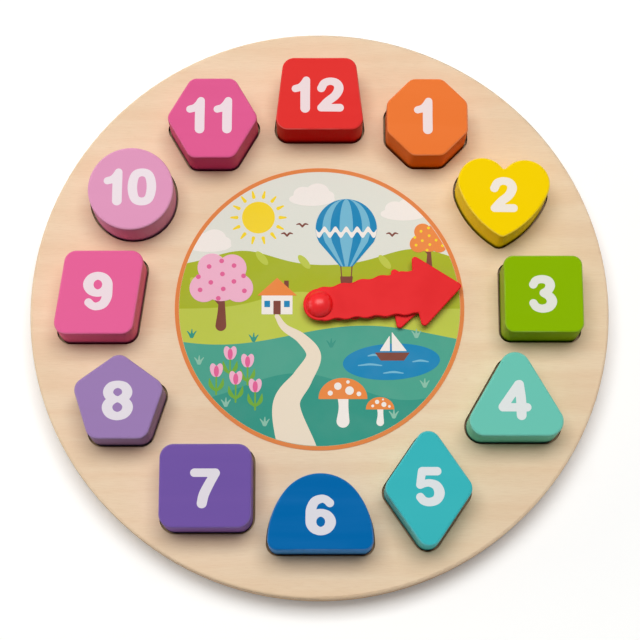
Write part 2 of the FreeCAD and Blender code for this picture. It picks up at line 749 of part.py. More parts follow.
def make_idler_pin():
    """Steel pin between the cover and the face board."""
    top = "dims.back_thickness + dims.pin_seat"
    return cylinder(
        "idler_pin", "dims.pivot_radius", f"{top} - dims.pin_foot", "dims.pin_foot", GEAR_SPACING)


def make_pipe_bush():
    """Flanged bush that the hour pipe turns in. Its flange holds the picture down."""
    bush = new_body("pipe_bush")
    inner = "dims.pipe_radius + dims.running_play"
    barrel = "-(dims.front_thickness + dims.label_thickness)"
    revolve(bush, [
        (inner, barrel),
        ("dims.bush_radius", barrel),
        ("dims.bush_radius", "0"),
        ("dims.flange_radius", "0"),
        ("dims.flange_radius", "dims.flange_thickness"),
        (inner, "dims.flange_thickness"),
    ])
    return lift(bush, LABEL_TOP)


# ---------------------------------------------------------------- cover and small parts

def make_gear_cover():
    """Round cover: four countersunk holes, and blind bores for the arbor's foot and the pin."""
    cover = new_body("gear_cover")
    disc = draw_circle(body_sketch(cover, "cover_disc"), "dims.cover_radius")
    pad(cover, disc, "dims.cover_thickness")
    bores = (
        ("arbor_bore", "dims.pivot_radius + dims.running_play", "0"),
        ("pin_bore", "dims.pivot_radius", GEAR_SPACING),
    )
    for name, radius, x in bores:
        bore = draw_circle(body_sketch(cover, name, "dims.cover_thickness"), radius, x)
        pocket(cover, bore, f"{COVER_LEVEL} + dims.cover_thickness - dims.pin_foot")
    centres = body_sketch(cover, "screw_centres")
    for x, y in screw_places():
        draw_circle(centres, "dims.screw_hole", x, y)
    doc.recompute()
    hole = cover.newObject("PartDesign::Hole", "countersunk_holes")
    hole.Profile = centres
    hole.DepthType = "ThroughAll"
    hole.Reversed = True
    hole.HoleCutType = "Countersink"
    hole.HoleCutCustomValues = True
    hole.setExpression("Diameter", "2 * dims.screw_hole")
    hole.setExpression("HoleCutDiameter", "2 * (dims.screw_head + dims.running_play)")
    hole.HoleCutCountersinkAngle = 90
    doc.recompute()
    return lift(cover, COVER_LEVEL)


def make_screw(number, x, y):
    """Countersunk screw, head down, with a driver slot and a pointed end."""
    screw = new_body(f"screw_{number}")
    neck = "(dims.screw_head - dims.screw_radius)"
    point = "(dims.screw_length - dims.screw_radius)"
    revolve(screw, [
        ("0", "0"),
        ("dims.screw_head", "0"),
        ("dims.screw_radius", neck),
        ("dims.screw_radius", point),
        ("0", "dims.screw_length"),
    ])
    half_width, reach = "dims.slot_width / 2", f"dims.screw_head + {OVERCUT}"
    slot = draw_corners(body_sketch(screw, f"slot_{number}"), [
        (reach, half_width),
        (f"-({reach})", half_width),
        (f"-({reach})", f"-{half_width}"),
        (reach, f"-{half_width}"),
    ])
    pocket(screw, slot, "dims.slot_depth", upwards=True)
    return lift(screw, COVER_LEVEL, x, y)


def make_cover_screws():
    """The four screws, which share one node as separate solids."""
    screws = doc.addObject("Part::Compound", "cover_screws")
    screws.Links = [make_screw(n, x, y) for n, (x, y) in enumerate(screw_places(), 1)]
    return screws


def make_friction_washer():
    """Felt ring on the cover, round the arbor's foot."""
    ring = cylinder("felt_disc", "dims.felt_radius", "dims.felt_thickness", "dims.rebate_depth")
    hole = cylinder(
        "felt_hole", "dims.felt_bore", f"dims.felt_thickness + {2 * OVERCUT}",
        f"dims.rebate_depth - {OVERCUT}")
    return cut("friction_washer", ring, hole)


nodes["front_board"] = make_front_board()
nodes["back_board"] = make_back_board()
nodes["picture_label"] = make_picture_label()
nodes["minute_hand"] = make_hand(
    "minute_hand", "minute", "dims.arbor_radius", "dims.minute_level", "dims.minute_angle")
nodes["hour_hand"] = make_hand(
    "hour_hand", "hour", "dims.pipe_radius", "dims.hour_level", "dims.hour_angle")
nodes["hand_cap"] = make_hand_cap()
nodes["minute_arbor"] = make_minute_arbor()
nodes["hour_wheel"] = make_hour_wheel()
nodes["idler_wheel"] = make_idler_wheel()
nodes["idler_pin"] = make_idler_pin()
nodes["pipe_bush"] = make_pipe_bush()
nodes["gear_cover"] = make_gear_cover()
nodes["cover_screws"] = make_cover_screws()
nodes["friction_washer"] = make_friction_washer()
doc.recompute()

# ---------------------------------------------------------------- test and write

for thing in doc.Objects:
    if "Invalid" in thing.State or "Error" in thing.State:
        raise RuntimeError(f"{thing.Name} failed: {thing.State}")

os.makedirs("parts", exist_ok=True)
for label, node in nodes.items():
    node.Label = label
    solid = node.Shape
    if solid.isNull() or not solid.isValid() or not solid.Solids:
        raise RuntimeError(f"{label} has no valid solid")
    solid.exportStep(f"parts/{label}.step")
    low, high, volume = solid.BoundBox.ZMin, solid.BoundBox.ZMax, solid.Volume / 1000
    print(f"{label}: {len(solid.Solids)} solid(s), {volume:.2f} cm3, z {low:.2f} to {high:.2f}")
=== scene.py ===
# %% [markdown]
# # A wooden teaching clock
#
# The clock is a round board of birch plywood with twelve painted blocks that lift out of their
# sockets, a printed picture in the middle, and two red hands that turn together through hidden
# gears. The construction model already holds every solid at its real size. This lesson gives those
# solids their finishes, and adds what is too thin to be construction: the printed numerals and the
# printed picture. First the construction model is loaded, as a frame that nothing here may move.

# %% Load the construction model
from math import radians

import bmesh
import bpy
import numpy as np
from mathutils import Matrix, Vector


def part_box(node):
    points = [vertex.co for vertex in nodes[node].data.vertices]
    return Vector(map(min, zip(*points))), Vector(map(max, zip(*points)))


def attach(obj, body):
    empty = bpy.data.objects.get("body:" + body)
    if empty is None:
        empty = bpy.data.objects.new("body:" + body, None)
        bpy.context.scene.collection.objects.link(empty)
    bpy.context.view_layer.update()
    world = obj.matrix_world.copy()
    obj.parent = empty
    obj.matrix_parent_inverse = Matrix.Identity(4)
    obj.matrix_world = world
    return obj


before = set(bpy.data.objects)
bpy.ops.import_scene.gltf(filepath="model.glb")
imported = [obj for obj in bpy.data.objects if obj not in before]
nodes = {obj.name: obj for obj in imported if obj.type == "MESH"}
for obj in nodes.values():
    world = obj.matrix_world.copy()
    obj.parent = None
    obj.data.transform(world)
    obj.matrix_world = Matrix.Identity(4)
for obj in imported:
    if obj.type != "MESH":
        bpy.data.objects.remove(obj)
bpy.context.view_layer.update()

MM = 0.001

# %% [markdown]
# The camera comes first, because every other choice is judged through it. It stands south of the
# clock's middle and looks almost straight down, tipped a little towards the north, so the blocks
# show their tops and a little of their southern sides. A long lens keeps the board nearly round.

# %% Camera
CAMERA_PLACE = (0.25 * MM, -206 * MM, 916 * MM)
CAMERA_TILT = radians(12.5)
LENS, SENSOR_WIDTH = 99.98, 36        # both in millimetres
NEAREST_SEEN = 10 * MM

camera_data = bpy.data.cameras.new("camera")
camera_data.lens = LENS
camera_data.sensor_width = SENSOR_WIDTH
camera_data.clip_start = NEAREST_SEEN
camera = bpy.data.objects.new("camera", camera_data)
camera.location = CAMERA_PLACE
camera.rotation_euler = (CAMERA_TILT, 0, 0)
scene = bpy.context.scene
scene.collection.objects.link(camera)
scene.camera = camera
print("camera at", tuple(round(c, 4) for c in camera.location))

# %% [markdown]
# A shader is a small network of nodes, and writing one out means making nodes and wires over and
# over. Two helpers keep that readable: one makes a colour from the 0 to 255 numbers that painters
# of screens use, the other places a node and either sets or wires each of its inputs.

# %% Shader helpers
def colour(red, green, blue):
    """Linear colour from three 0-255 screen values: ((v + 0.055) / 1.055) to the power 2.4, or
    v / 12.92 for the darkest ones, where v is the screen value over 255."""
    screen = np.array([red, green, blue]) / 255
    linear = np.where(screen > 0.04045, ((screen + 0.055) / 1.055) ** 2.4, screen / 12.92)
    return (*linear.tolist(), 1.0)


def place(tree, kind, inputs=None, **settings):
    """Adds a node. Each input, by name or number, is wired if its value is a socket, else set."""
    made = tree.nodes.new(kind)
    for name, setting in settings.items():
        setattr(made, name, setting)
    for key, given in (inputs or {}).items():
        if isinstance(given, bpy.types.NodeSocket):
            tree.links.new(given, made.inputs[key])
        else:
            made.inputs[key].default_value = given
    return made


def calculate(tree, operation, first, second=0.0, third=0.0):
    """One sum of numbers, as a node, and its result as a socket."""
    inputs = {0: first, 1: second, 2: third}
    return place(tree, "ShaderNodeMath", inputs, operation=operation).outputs[0]


def blend(tree, amount, first, second, way="MIX"):
    """Mixes two colours by an amount from 0 to 1. A mixer of colours takes the amount at input 0
    and the colours at inputs 6 and 7, and gives its result at output 2."""
    inputs = {0: amount, 6: first, 7: second}
    return place(tree, "ShaderNodeMix", inputs, data_type="RGBA", blend_type=way).outputs[2]


def ramp(tree, driver, low, high, to_low=0.0, to_high=1.0):
    """Smooth step: the driver's range from low to high becomes to_low to to_high."""
    inputs = {"Value": driver, "From Min": low, "From Max": high,
              "To Min": to_low, "To Max": to_high}
    return place(tree, "ShaderNodeMapRange", inputs, interpolation_type="SMOOTHSTEP").outputs[0]


print("white is", colour(255, 255, 255))

# %% [markdown]
# A wide soft lamp hangs high to the north. It throws the short soft shadows that show how far the
# blocks stand up. A weak lamp low in the west picks out the sides that face it, as a window would.
# An even surround, a little warm as a room is, fills the shadows. Together they light the face at a
# level where a colour renders about as it is written. The floor shows white through a little light
# of its own, which only the camera, mirrors and glass see, so it can still take the clock's shadow.

# %% Light and floor
# place, width and depth in metres, power in watts
LAMPS = {
    "north_lamp": ((-0.1, 0.93, 3.0), 3.0, 1.6, 95),
    "west_lamp": ((-2.9, 0.3, 0.8), 2.0, 1.0, 17),
}
LAMP_COLOUR = (0.98, 0.985, 0.975)
SURROUND_LEVEL = 0.14
SURROUND_COLOUR, WHITE = (1.0, 0.96, 0.91, 1.0), (1.0, 1.0, 1.0, 1.0)
FLOOR_PAPER = (0.95, 0.95, 0.95, 1.0)
FLOOR_GLOW = 0.14
FLOOR_HALF = 3.0


def seen_directly(tree):
    """1 for rays from the camera, from a mirror-like surface or through glass, else 0."""
    path = place(tree, "ShaderNodeLightPath").outputs
    seen = calculate(tree, "MAXIMUM", path["Is Camera Ray"], path["Is Glossy Ray"])
    return calculate(tree, "MAXIMUM", seen, path["Is Transmission Ray"])


for name, (spot, width, depth, power) in LAMPS.items():
    lamp_data = bpy.data.lights.new(name, "AREA")
    lamp_data.shape = "RECTANGLE"
    lamp_data.size = width
    lamp_data.size_y = depth
    lamp_data.energy = power
    lamp_data.color = LAMP_COLOUR
    lamp = bpy.data.objects.new(name, lamp_data)
    lamp.location = spot
    lamp.rotation_euler = lamp.location.to_track_quat("Z", "Y").to_euler()
    scene.collection.objects.link(lamp)

world = bpy.data.worlds.new("surround")
world.use_nodes = True
scene.world = world
surround = world.node_tree
direct = seen_directly(surround)
background = surround.nodes["Background"]
strength = ramp(surround, direct, 0, 1, SURROUND_LEVEL, 1.0)
surround.links.new(strength, background.inputs["Strength"])
surround.links.new(blend(surround, direct, SURROUND_COLOUR, WHITE), background.inputs["Color"])

floor_finish = bpy.data.materials.new("floor_paper")
floor_finish.use_nodes = True
paper = floor_finish.node_tree
paper.nodes.clear()
plain = place(paper, "ShaderNodeBsdfDiffuse", {"Color": FLOOR_PAPER})
glow_strength = calculate(paper, "MULTIPLY", seen_directly(paper), FLOOR_GLOW)
glow = place(paper, "ShaderNodeEmission", {"Strength": glow_strength})
both = place(paper, "ShaderNodeAddShader", {0: plain.outputs[0], 1: glow.outputs[0]})
place(paper, "ShaderNodeOutputMaterial", {"Surface": both.outputs[0]})

floor_mesh = bpy.data.meshes.new("floor")
corners = np.array([[-1, -1, 0], [1, -1, 0], [1, 1, 0], [-1, 1, 0]]) * FLOOR_HALF
floor_mesh.from_pydata(corners.tolist(), [], [(0, 1, 2, 3)])
floor_mesh.materials.append(floor_finish)
floor = bpy.data.objects.new("floor", floor_mesh)
scene.collection.objects.link(floor)
scene.view_settings.view_transform = "Standard"
print(len(LAMPS), "lamps, surround at", SURROUND_LEVEL)

# %% [markdown]
# Some effects belong to more than one finish: the fibres of wood show on bare boards and through
# paint, and every sanded or moulded surface is a little uneven. Each such effect is a node group,
# built once. It puts out only masks and heights, and each material decides what to do with them.

# %% Group helper
def new_group(name, inputs, outputs):
    """An empty shader group with named sockets. Returns its tree, input node and output node."""
    tree = bpy.data.node_groups.new(name, "ShaderNodeTree")
    for socket_name, kind, default in inputs:
        socket = tree.interface.new_socket(socket_name, in_out="INPUT", socket_type=kind)
        if default is not None:
            socket.default_value = default
    for socket_name in outputs:
        tree.interface.new_socket(socket_name, in_out="OUTPUT", socket_type="NodeSocketFloat")
    return tree, tree.nodes.new("NodeGroupInput"), tree.nodes.new("NodeGroupOutput")


def use_group(tree, group, inputs):
    """Places a shared group in a material and returns its output sockets."""
    return place(tree, "ShaderNodeGroup", inputs, node_tree=group).outputs


def stretched(tree, vector, along, across, upwards):
    """Object coordinates times three frequencies, so that a pattern runs longer one way."""
    inputs = {0: vector, 1: (along, across, upwards)}
    return place(tree, "ShaderNodeVectorMath", inputs, operation="MULTIPLY").outputs[0]


def noise(tree, vector, detail, distortion=0.0):
    """Fractal noise from 0 to 1, with one feature for each unit of the vector."""
    inputs = {"Vector": vector, "Scale": 1.0, "Detail": detail, "Distortion": distortion}
    return place(tree, "ShaderNodeTexNoise", inputs).outputs[0]


print("helpers ready")

# %% [markdown]
# Birch is pale and even. Up close it has fine fibres along the grain, broad bands that drift in and
# out, and short dark flecks where pores were cut. Each is noise stretched along X, at its own
# length and width in millimetres. The group gives three masks: fibre, band and fleck.

# %% Wood grain group
# length, width and fineness of each kind of streak
STREAKS = {"Fibre": (7 * MM, 0.45 * MM, 4.0), "Band": (110 * MM, 9 * MM, 3.0)}
STREAK_WANDER = 0.3
FLECK_LENGTH, FLECK_WIDTH = 3.2 * MM, 0.28 * MM
FLECK_FROM, FLECK_TO = 0.68, 0.78

grain_group, given, result = new_group(
    "wood_grain", [("Place", "NodeSocketVector", None)], ["Fibre", "Band", "Fleck"])
along_grain = given.outputs["Place"]
for name, (length, width, detail) in STREAKS.items():
    streaks = stretched(grain_group, along_grain, 1 / length, 1 / width, 1 / width)
    grain_group.links.new(
        noise(grain_group, streaks, detail, STREAK_WANDER), result.inputs[name])
pores = stretched(grain_group, along_grain, 1 / FLECK_LENGTH, 1 / FLECK_WIDTH, 1 / FLECK_WIDTH)
pore_mask = ramp(grain_group, noise(grain_group, pores, 1.0), FLECK_FROM, FLECK_TO)
grain_group.links.new(pore_mask, result.inputs["Fleck"])
print("wood_grain:", [s.name for s in result.inputs if s.name])

# %% [markdown]
# Plywood is a stack of thin sheets whose grain runs crosswise in turn. On a cut edge every second
# sheet shows its end grain, which is darker, and a hairline of glue parts each from the next. Both
# follow from the height, made a little wavy: the height over the sheet's thickness, its fraction and
# its parity.

# %% Plywood layers group
GLUE_SHARE = 0.07
WAVES_PER_METRE, WAVE_HEIGHT = 30, 0.12 * MM

ply_group, given, result = new_group(
    "plywood_layers",
    [("Place", "NodeSocketVector", None), ("Sheet", "NodeSocketFloat", 1.2 * MM)],
    ["Cross", "Glue"])
flat_place = stretched(ply_group, given.outputs["Place"], WAVES_PER_METRE, WAVES_PER_METRE, 0)
wave = noise(ply_group, flat_place, 2.0)
split = place(ply_group, "ShaderNodeSeparateXYZ", {0: given.outputs["Place"]})
level = calculate(ply_group, "MULTIPLY_ADD", wave, WAVE_HEIGHT, split.outputs["Z"])
counted = calculate(ply_group, "DIVIDE", level, given.outputs["Sheet"])
pair = calculate(ply_group, "FRACT", calculate(ply_group, "MULTIPLY", counted, 0.5))
ply_group.links.new(calculate(ply_group, "GREATER_THAN", pair, 0.5), result.inputs["Cross"])
to_joint = calculate(ply_group, "PINGPONG", counted, 0.5)
ply_group.links.new(calculate(ply_group, "LESS_THAN", to_joint, GLUE_SHARE), result.inputs["Glue"])
print("plywood_layers:", [s.name for s in result.inputs if s.name])

# %% [markdown]
# A block's top, its sides and the narrow rounding between them take paint and wear differently. The
# direction that the surface faces tells them apart: its upright part is 1 or -1 on a flat, 0 on a
# side, and in between only on the rounding. The grain runs along X, so a side that faces along X is
# end grain: the X part squared goes from 0 on long grain to 1 on end grain.

# %% Facing group
# ranges of the flatness, which is 0 on a side and 1 on a flat
SIDE_FADES, EDGE_RISES, EDGE_FALLS = (0.25, 0.75), (0.3, 0.7), (0.8, 0.99)

facing_group, given, result = new_group(
    "facing", [("Normal", "NodeSocketVector", None)], ["Side", "Edge", "End"])
split = place(facing_group, "ShaderNodeSeparateXYZ", {0: given.outputs["Normal"]})
along_x = split.outputs["X"]
facing_group.links.new(calculate(facing_group, "MULTIPLY", along_x, along_x), result.inputs["End"])
flatness = calculate(facing_group, "ABSOLUTE", split.outputs["Z"])
side = ramp(facing_group, flatness, *SIDE_FADES, 1.0, 0.0)
facing_group.links.new(side, result.inputs["Side"])
rising = ramp(facing_group, flatness, *EDGE_RISES)
falling = ramp(facing_group, flatness, *EDGE_FALLS, 1.0, 0.0)
edge = calculate(facing_group, "MULTIPLY", rising, falling)
facing_group.links.new(edge, result.inputs["Edge"])
print("facing:", [s.name for s in result.inputs if s.name])

# %% [markdown]
# No real surface is perfectly even. This group gives a slow drift, for colour and gloss, and a fine
# pebble, for the bump of paint, ink and moulded plastic. The size of the pebble is an input.

# %% Unevenness group
DRIFTS_PER_METRE = 60

uneven_group, given, result = new_group(
    "unevenness",
    [("Place", "NodeSocketVector", None), ("Pebble", "NodeSocketFloat", 0.5 * MM)],
    ["Drift", "Pebbles"])
per_metre = calculate(uneven_group, "DIVIDE", 1.0, given.outputs["Pebble"])
for name, frequency in (("Drift", DRIFTS_PER_METRE), ("Pebbles", per_metre)):
    inputs = {0: given.outputs["Place"], "Scale": frequency}
    enlarged = place(uneven_group, "ShaderNodeVectorMath", inputs, operation="SCALE").outputs[0]
    uneven_group.links.new(noise(uneven_group, enlarged, 2.0), result.inputs[name])
print("unevenness:", [s.name for s in result.inputs if s.name])

# %% [markdown]
# Every finish starts the same way: an empty material with a Principled shader, and what patterns are
# made from. That is the object's own coordinates, the way the surface faces and the unevenness. The
# roughness follows the slow drift, so the gloss wanders a little, as on anything sanded or moulded.

# %% Start of a finish
NOISE_LOW, NOISE_HIGH = 0.3, 0.7        # fractal noise seldom leaves this range


def new_finish(name, roughness, swing, pebble, **uniform):
    """A material with its Principled shader, coordinates and unevenness. Its roughness drifts from
    roughness - swing to roughness + swing. Uniform numbers go straight on the shader."""
    material = bpy.data.materials.new(name)
    material.use_nodes = True
    tree = material.node_tree
    shader = tree.nodes["Principled BSDF"]
    shader.inputs["Roughness"].default_value = roughness
    for socket, amount in uniform.items():
        shader.inputs[socket.replace("_", " ")].default_value = amount
    texture = place(tree, "ShaderNodeTexCoord").outputs
    uneven = use_group(tree, uneven_group, {"Place": texture["Object"], "Pebble": pebble})
    if swing:
        drift = ramp(tree, uneven["Drift"], NOISE_LOW, NOISE_HIGH,
                     roughness - swing, roughness + swing)
        tree.links.new(drift, shader.inputs["Roughness"])
    return material, tree, shader, texture, uneven


def bump(tree, shader, height, depth):
    """Feeds a height from 0 to 1 to the shader's normal, worth a depth in metres."""
    made = place(tree, "ShaderNodeBump", {"Height": height, "Distance": depth, "Strength": 1.0})
    tree.links.new(made.outputs[0], shader.inputs["Normal"])


print("finishes start from a Principled shader")

# %% [markdown]
# The boards are clear-coated birch plywood. The face shows one quiet sheet with level grain, and
# the sanded rim shows the stack. The socket walls, cut by laser, are near-black brown: a little
# laser singe, and mostly painted shade for the narrow gaps round the blocks. One function makes both
# boards, which differ only in their sheets' thickness and their colour.

# %% Birch plywood
RIM_START = 147 * MM
# the singed tone is near-black: a little laser singe, and mostly painted shade for the gaps round the
# blocks
END_GRAIN, GLUE_BROWN, SINGED_AND_SHADE = colour(208, 170, 128), colour(120, 86, 58), colour(36, 20, 12)
# how far each mark turns the wood towards its own tone
FIBRE_TONE, FLECK_TONE, CROSS_TONE, GLUE_TONE, SINGE_AND_SHADE_TONE = 0.18, 0.3, 0.75, 0.7, 0.94
GRAIN_RELIEF = 0.6


def birch(name, pale, warm, sheet):
    """Clear-coated plywood: grain on the flats, layers on the rim, and near-black walls within the rim,
    where a laser cut the sockets: some laser singe and painted shade for the gaps."""
    material, tree, shader, texture, _ = new_finish(
        name, roughness=0.5, swing=0.06, pebble=0.8 * MM, Specular_IOR_Level=0.1)
    here = texture["Object"]
    grain = use_group(tree, grain_group, {"Place": here})
    layers = use_group(tree, ply_group, {"Place": here, "Sheet": sheet})
    facing = use_group(tree, facing_group, {"Normal": texture["Normal"]})

    def marked(mask, share, wood, tone):
        """The wood, turned towards a tone by a share wherever the mask is 1."""
        return blend(tree, calculate(tree, "MULTIPLY", mask, share), wood, tone)

    banded = blend(tree, ramp(tree, grain["Band"], NOISE_LOW, NOISE_HIGH), pale, warm)
    fibred = blend(tree, ramp(tree, grain["Fibre"], 0.35, 0.75, 0.0, FIBRE_TONE), banded, END_GRAIN)
    flecked = marked(grain["Fleck"], FLECK_TONE, fibred, END_GRAIN)
    stacked = marked(layers["Cross"], CROSS_TONE, flecked, END_GRAIN)
    glued = marked(layers["Glue"], GLUE_TONE, stacked, GLUE_BROWN)
    # side faces within the rim, the socket walls, turn almost fully near-black: painted shade in the
    # gaps, with some laser singe
    flat_place = stretched(tree, here, 1, 1, 0)
    from_axis = place(tree, "ShaderNodeVectorMath", {0: flat_place}, operation="LENGTH")
    within = calculate(tree, "LESS_THAN", from_axis.outputs["Value"], RIM_START)
    walls = marked(within, SINGE_AND_SHADE_TONE, glued, SINGED_AND_SHADE)
    tree.links.new(blend(tree, facing["Side"], flecked, walls), shader.inputs["Base Color"])

    cross = calculate(tree, "MULTIPLY", layers["Cross"], facing["Side"])
    set_back = calculate(tree, "MULTIPLY", cross, -GRAIN_RELIEF)
    relief = calculate(tree, "MULTIPLY_ADD", grain["Fibre"], GRAIN_RELIEF, set_back)
    bump(tree, shader, relief, depth=0.03 * MM)
    return material


birch_face = birch("birch_face", colour(238, 213, 182), colour(234, 204, 171), sheet=1.2 * MM)
birch_core = birch("birch_core", colour(226, 192, 152), colour(215, 178, 138), sheet=1.5 * MM)
print("plywood:", birch_face.name, birch_core.name)

# %% [markdown]
# The blocks are sprayed with one satin colour each. On top the paint lies thick and level. The
# sides get a second tone for each block, darker than the top on most and lighter on a few: partly
# paint sunk into the sanded wood, and partly painted shade and painted light, so that each block's
# sides come out as bright as wanted under these lamps. The fibres draw fine upright lines on them.
# The sides that face along X, the end grain, are painted paler, as painted light, with some wood
# tone mixed in as a painted reflection of the board. Along the rounded edges the colour turns a
# little towards near-white, partly wear from handling and partly a painted highlight, under a thin
# coat that shines a little.

# %% Block paint
PAINT_SHINE, EDGE_SHINE = 0.01, 0.2
REFLECTED_WOOD, GRAIN_BROWN, RUBBED_AND_HIGHLIGHT = colour(205, 165, 120), colour(150, 100, 60), colour(250, 240, 228)
# end grain: how much wood tone is mixed in as a painted reflection of the board, and how much lighter
# the paint is made there as painted light
REFLECTED_WOOD_SHARE, END_LIGHT_LEVEL = 0.18, 1.2
# how brown a streak is, and how far streaks, bands and the near-white edges (wear and painted
# highlight) cover the paint at most
STREAK_BROWN, STREAK_TONE, BAND_TONE, LEAST_WEAR_AND_HIGHLIGHT, MOST_WEAR_AND_HIGHLIGHT = 0.25, 0.3, 0.08, 0.01, 0.08
TOP_RELIEF, PEBBLE_RELIEF = 0.3, 0.4    # against 1 for the fibres of the sides


def block_paint(name, paint, side_tone_and_shade):
    """Satin paint on wood: level on top; on the sides a tone with painted shade and light, streaky,
    and paler on end grain as painted light; near-white edges as wear and a painted highlight.
    """
    material, tree, shader, texture, uneven = new_finish(
        name, roughness=0.45, swing=0.05, pebble=0.35 * MM,
        Specular_IOR_Level=PAINT_SHINE, Coat_Roughness=0.4)
    here = texture["Object"]
    upright = place(tree, "ShaderNodeMapping", {"Vector": here, "Rotation": (0, radians(90), 0)})
    level_grain = use_group(tree, grain_group, {"Place": here})
    side_grain = use_group(tree, grain_group, {"Place": upright.outputs[0]})
    facing = use_group(tree, facing_group, {"Normal": texture["Normal"]})

    # sides facing along X are painted lighter, as painted light, with wood tone mixed in as a painted
    # reflection
    lit_ends = np.array(side_tone_and_shade) * END_LIGHT_LEVEL + REFLECTED_WOOD_SHARE * (np.array(REFLECTED_WOOD) - np.array(side_tone_and_shade))
    sides = blend(tree, facing["End"], side_tone_and_shade, np.clip(lit_ends, 0, 1).tolist())
    brown = blend(tree, STREAK_BROWN, sides, GRAIN_BROWN)
    streaks = ramp(tree, side_grain["Fibre"], 0.4, 0.75, 0.0, STREAK_TONE)
    bands = ramp(tree, level_grain["Band"], 0.35, 0.7, 0.0, BAND_TONE)
    covered = blend(tree, facing["Side"], blend(tree, bands, paint, side_tone_and_shade),
                    blend(tree, streaks, sides, brown))
    # near-white along the rounded edges: handling wear and a painted highlight
    wear_and_highlight_drift = ramp(tree, uneven["Drift"], 0.35, 0.65, LEAST_WEAR_AND_HIGHLIGHT, MOST_WEAR_AND_HIGHLIGHT)
    wear_and_highlight = calculate(tree, "MULTIPLY", facing["Edge"], wear_and_highlight_drift)
    tree.links.new(blend(tree, wear_and_highlight, covered, RUBBED_AND_HIGHLIGHT), shader.inputs["Base Color"])
    coat = calculate(tree, "MULTIPLY", facing["Edge"], EDGE_SHINE)
    tree.links.new(coat, shader.inputs["Coat Weight"])

    fibres = calculate(tree, "MULTIPLY", side_grain["Fibre"], facing["Side"])
    relief = calculate(tree, "MULTIPLY_ADD", level_grain["Fibre"], TOP_RELIEF, fibres)
    relief = calculate(tree, "MULTIPLY_ADD", uneven["Pebbles"], PEBBLE_RELIEF, relief)
    bump(tree, shader, relief, depth=0.02 * MM)
    return material


# each row: the top's paint, then the sides' tone, which holds painted shade and painted light for that
# block
PAINTS = {
    "octagon": (colour(241, 124, 57), colour(225, 99, 8)),
    "heart": (colour(250, 212, 0), colour(255, 214, 0)),
    "square": (colour(138, 182, 0), colour(134, 170, 0)),
    "triangle": (colour(109, 199, 182), colour(113, 202, 175)),
    "rhombus": (colour(59, 184, 191), colour(80, 200, 200)),
    "arch": (colour(0, 103, 172), colour(66, 143, 212)),
    "rectangle": (colour(114, 86, 166), colour(138, 102, 178)),
    "pentagon": (colour(158, 127, 183), colour(148, 120, 162)),
    "parallelogram": (colour(234, 101, 156), colour(228, 98, 141)),
    "circle": (colour(228, 155, 193), colour(210, 139, 180)),
    "hexagon": (colour(228, 95, 149), colour(201, 65, 119)),
    "trapezoid": (colour(230, 54, 51), colour(205, 15, 14)),
}
block_of = {name.split("_")[2]: name for name in nodes if name.startswith("block_")}
for shape, (paint, side_tone_and_shade) in PAINTS.items():
    nodes[block_of[shape]].data.materials[0] = block_paint("paint_" + shape, paint, side_tone_and_shade)
print("painted", len(PAINTS), "blocks")

# %% [markdown]
# The hands, their cap and the bush are moulded from red plastics that differ a little in tone and
# gloss, all with the faint pebble that a blasted mould leaves. Inside, the wheels are white acetal,
# the cover a warm grey plastic, the pin drawn steel, the screws zinc-plated and the washer felt.
# Finishes of a kind differ in a few numbers, so one function makes the plastics and another the
# metals.

# %% Plastics, metals and felt
SHADE, LINE_GREY, WOOL_GREY = colour(90, 60, 50), colour(120, 118, 115), colour(190, 190, 192)
SHADE_TONE, LINE_TONE = 0.06, 0.5
LINES_PER_METRE = 9000, 400             # along the length, and round it


def moulded(name, tint, roughness, shine, pebble, depth):
    """Moulded plastic with a slow drift of tone and gloss and a fine pebble from the mould."""
    material, tree, shader, _, uneven = new_finish(
        name, roughness, swing=0.04, pebble=pebble, Specular_IOR_Level=shine)
    drift = ramp(tree, uneven["Drift"], NOISE_LOW, NOISE_HIGH, 0.0, SHADE_TONE)
    tree.links.new(blend(tree, drift, tint, SHADE, "MULTIPLY"), shader.inputs["Base Color"])
    bump(tree, shader, uneven["Pebbles"], depth)
    return material


def drawn_metal(name, tint, roughness):
    """Metal with fine lines round its length and a wandering gloss."""
    material, tree, shader, texture, _ = new_finish(
        name, roughness, swing=0.08, pebble=0.3 * MM, Metallic=1.0)
    along, around = LINES_PER_METRE
    lines = noise(tree, stretched(tree, texture["Object"], around, around, along), 2.0)
    amount = ramp(tree, lines, NOISE_LOW, NOISE_HIGH, 0.0, LINE_TONE)
    tree.links.new(blend(tree, amount, tint, LINE_GREY), shader.inputs["Base Color"])
    bump(tree, shader, lines, depth=0.004 * MM)
    return material


def pressed_felt(name, tint):
    """Grey wool felt: a mottled colour and a matted, hairy surface of one dull gloss."""
    material, tree, shader, _, uneven = new_finish(
        name, roughness=0.95, swing=0, pebble=0.15 * MM, Sheen_Weight=0.4)
    mottled = blend(tree, uneven["Pebbles"], tint, WOOL_GREY)
    tree.links.new(mottled, shader.inputs["Base Color"])
    bump(tree, shader, uneven["Pebbles"], depth=0.15 * MM)
    return material


# roughness, shine, size of the pebble, depth of the pebble
red_plastic = moulded("red_plastic", colour(234, 38, 42), 0.45, 0.06, 0.3 * MM, 0.008 * MM)
red_gloss = moulded("cap_plastic", colour(243, 14, 24), 0.32, 0.45, 0.3 * MM, 0.004 * MM)
red_bush = moulded("bush_plastic", colour(214, 40, 44), 0.45, 0.2, 0.3 * MM, 0.008 * MM)
white_acetal = moulded("gear_plastic", colour(236, 234, 226), 0.4, 0.3, 0.4 * MM, 0.006 * MM)
grey_cover = moulded("cover_plastic", colour(214, 205, 190), 0.5, 0.3, 0.7 * MM, 0.03 * MM)
pin_steel = drawn_metal("pin_steel", colour(205, 205, 206), 0.3)
zinc_steel = drawn_metal("screw_steel", colour(214, 212, 205), 0.35)
grey_felt = pressed_felt("felt", colour(120, 120, 124))
print("inner finishes ready")

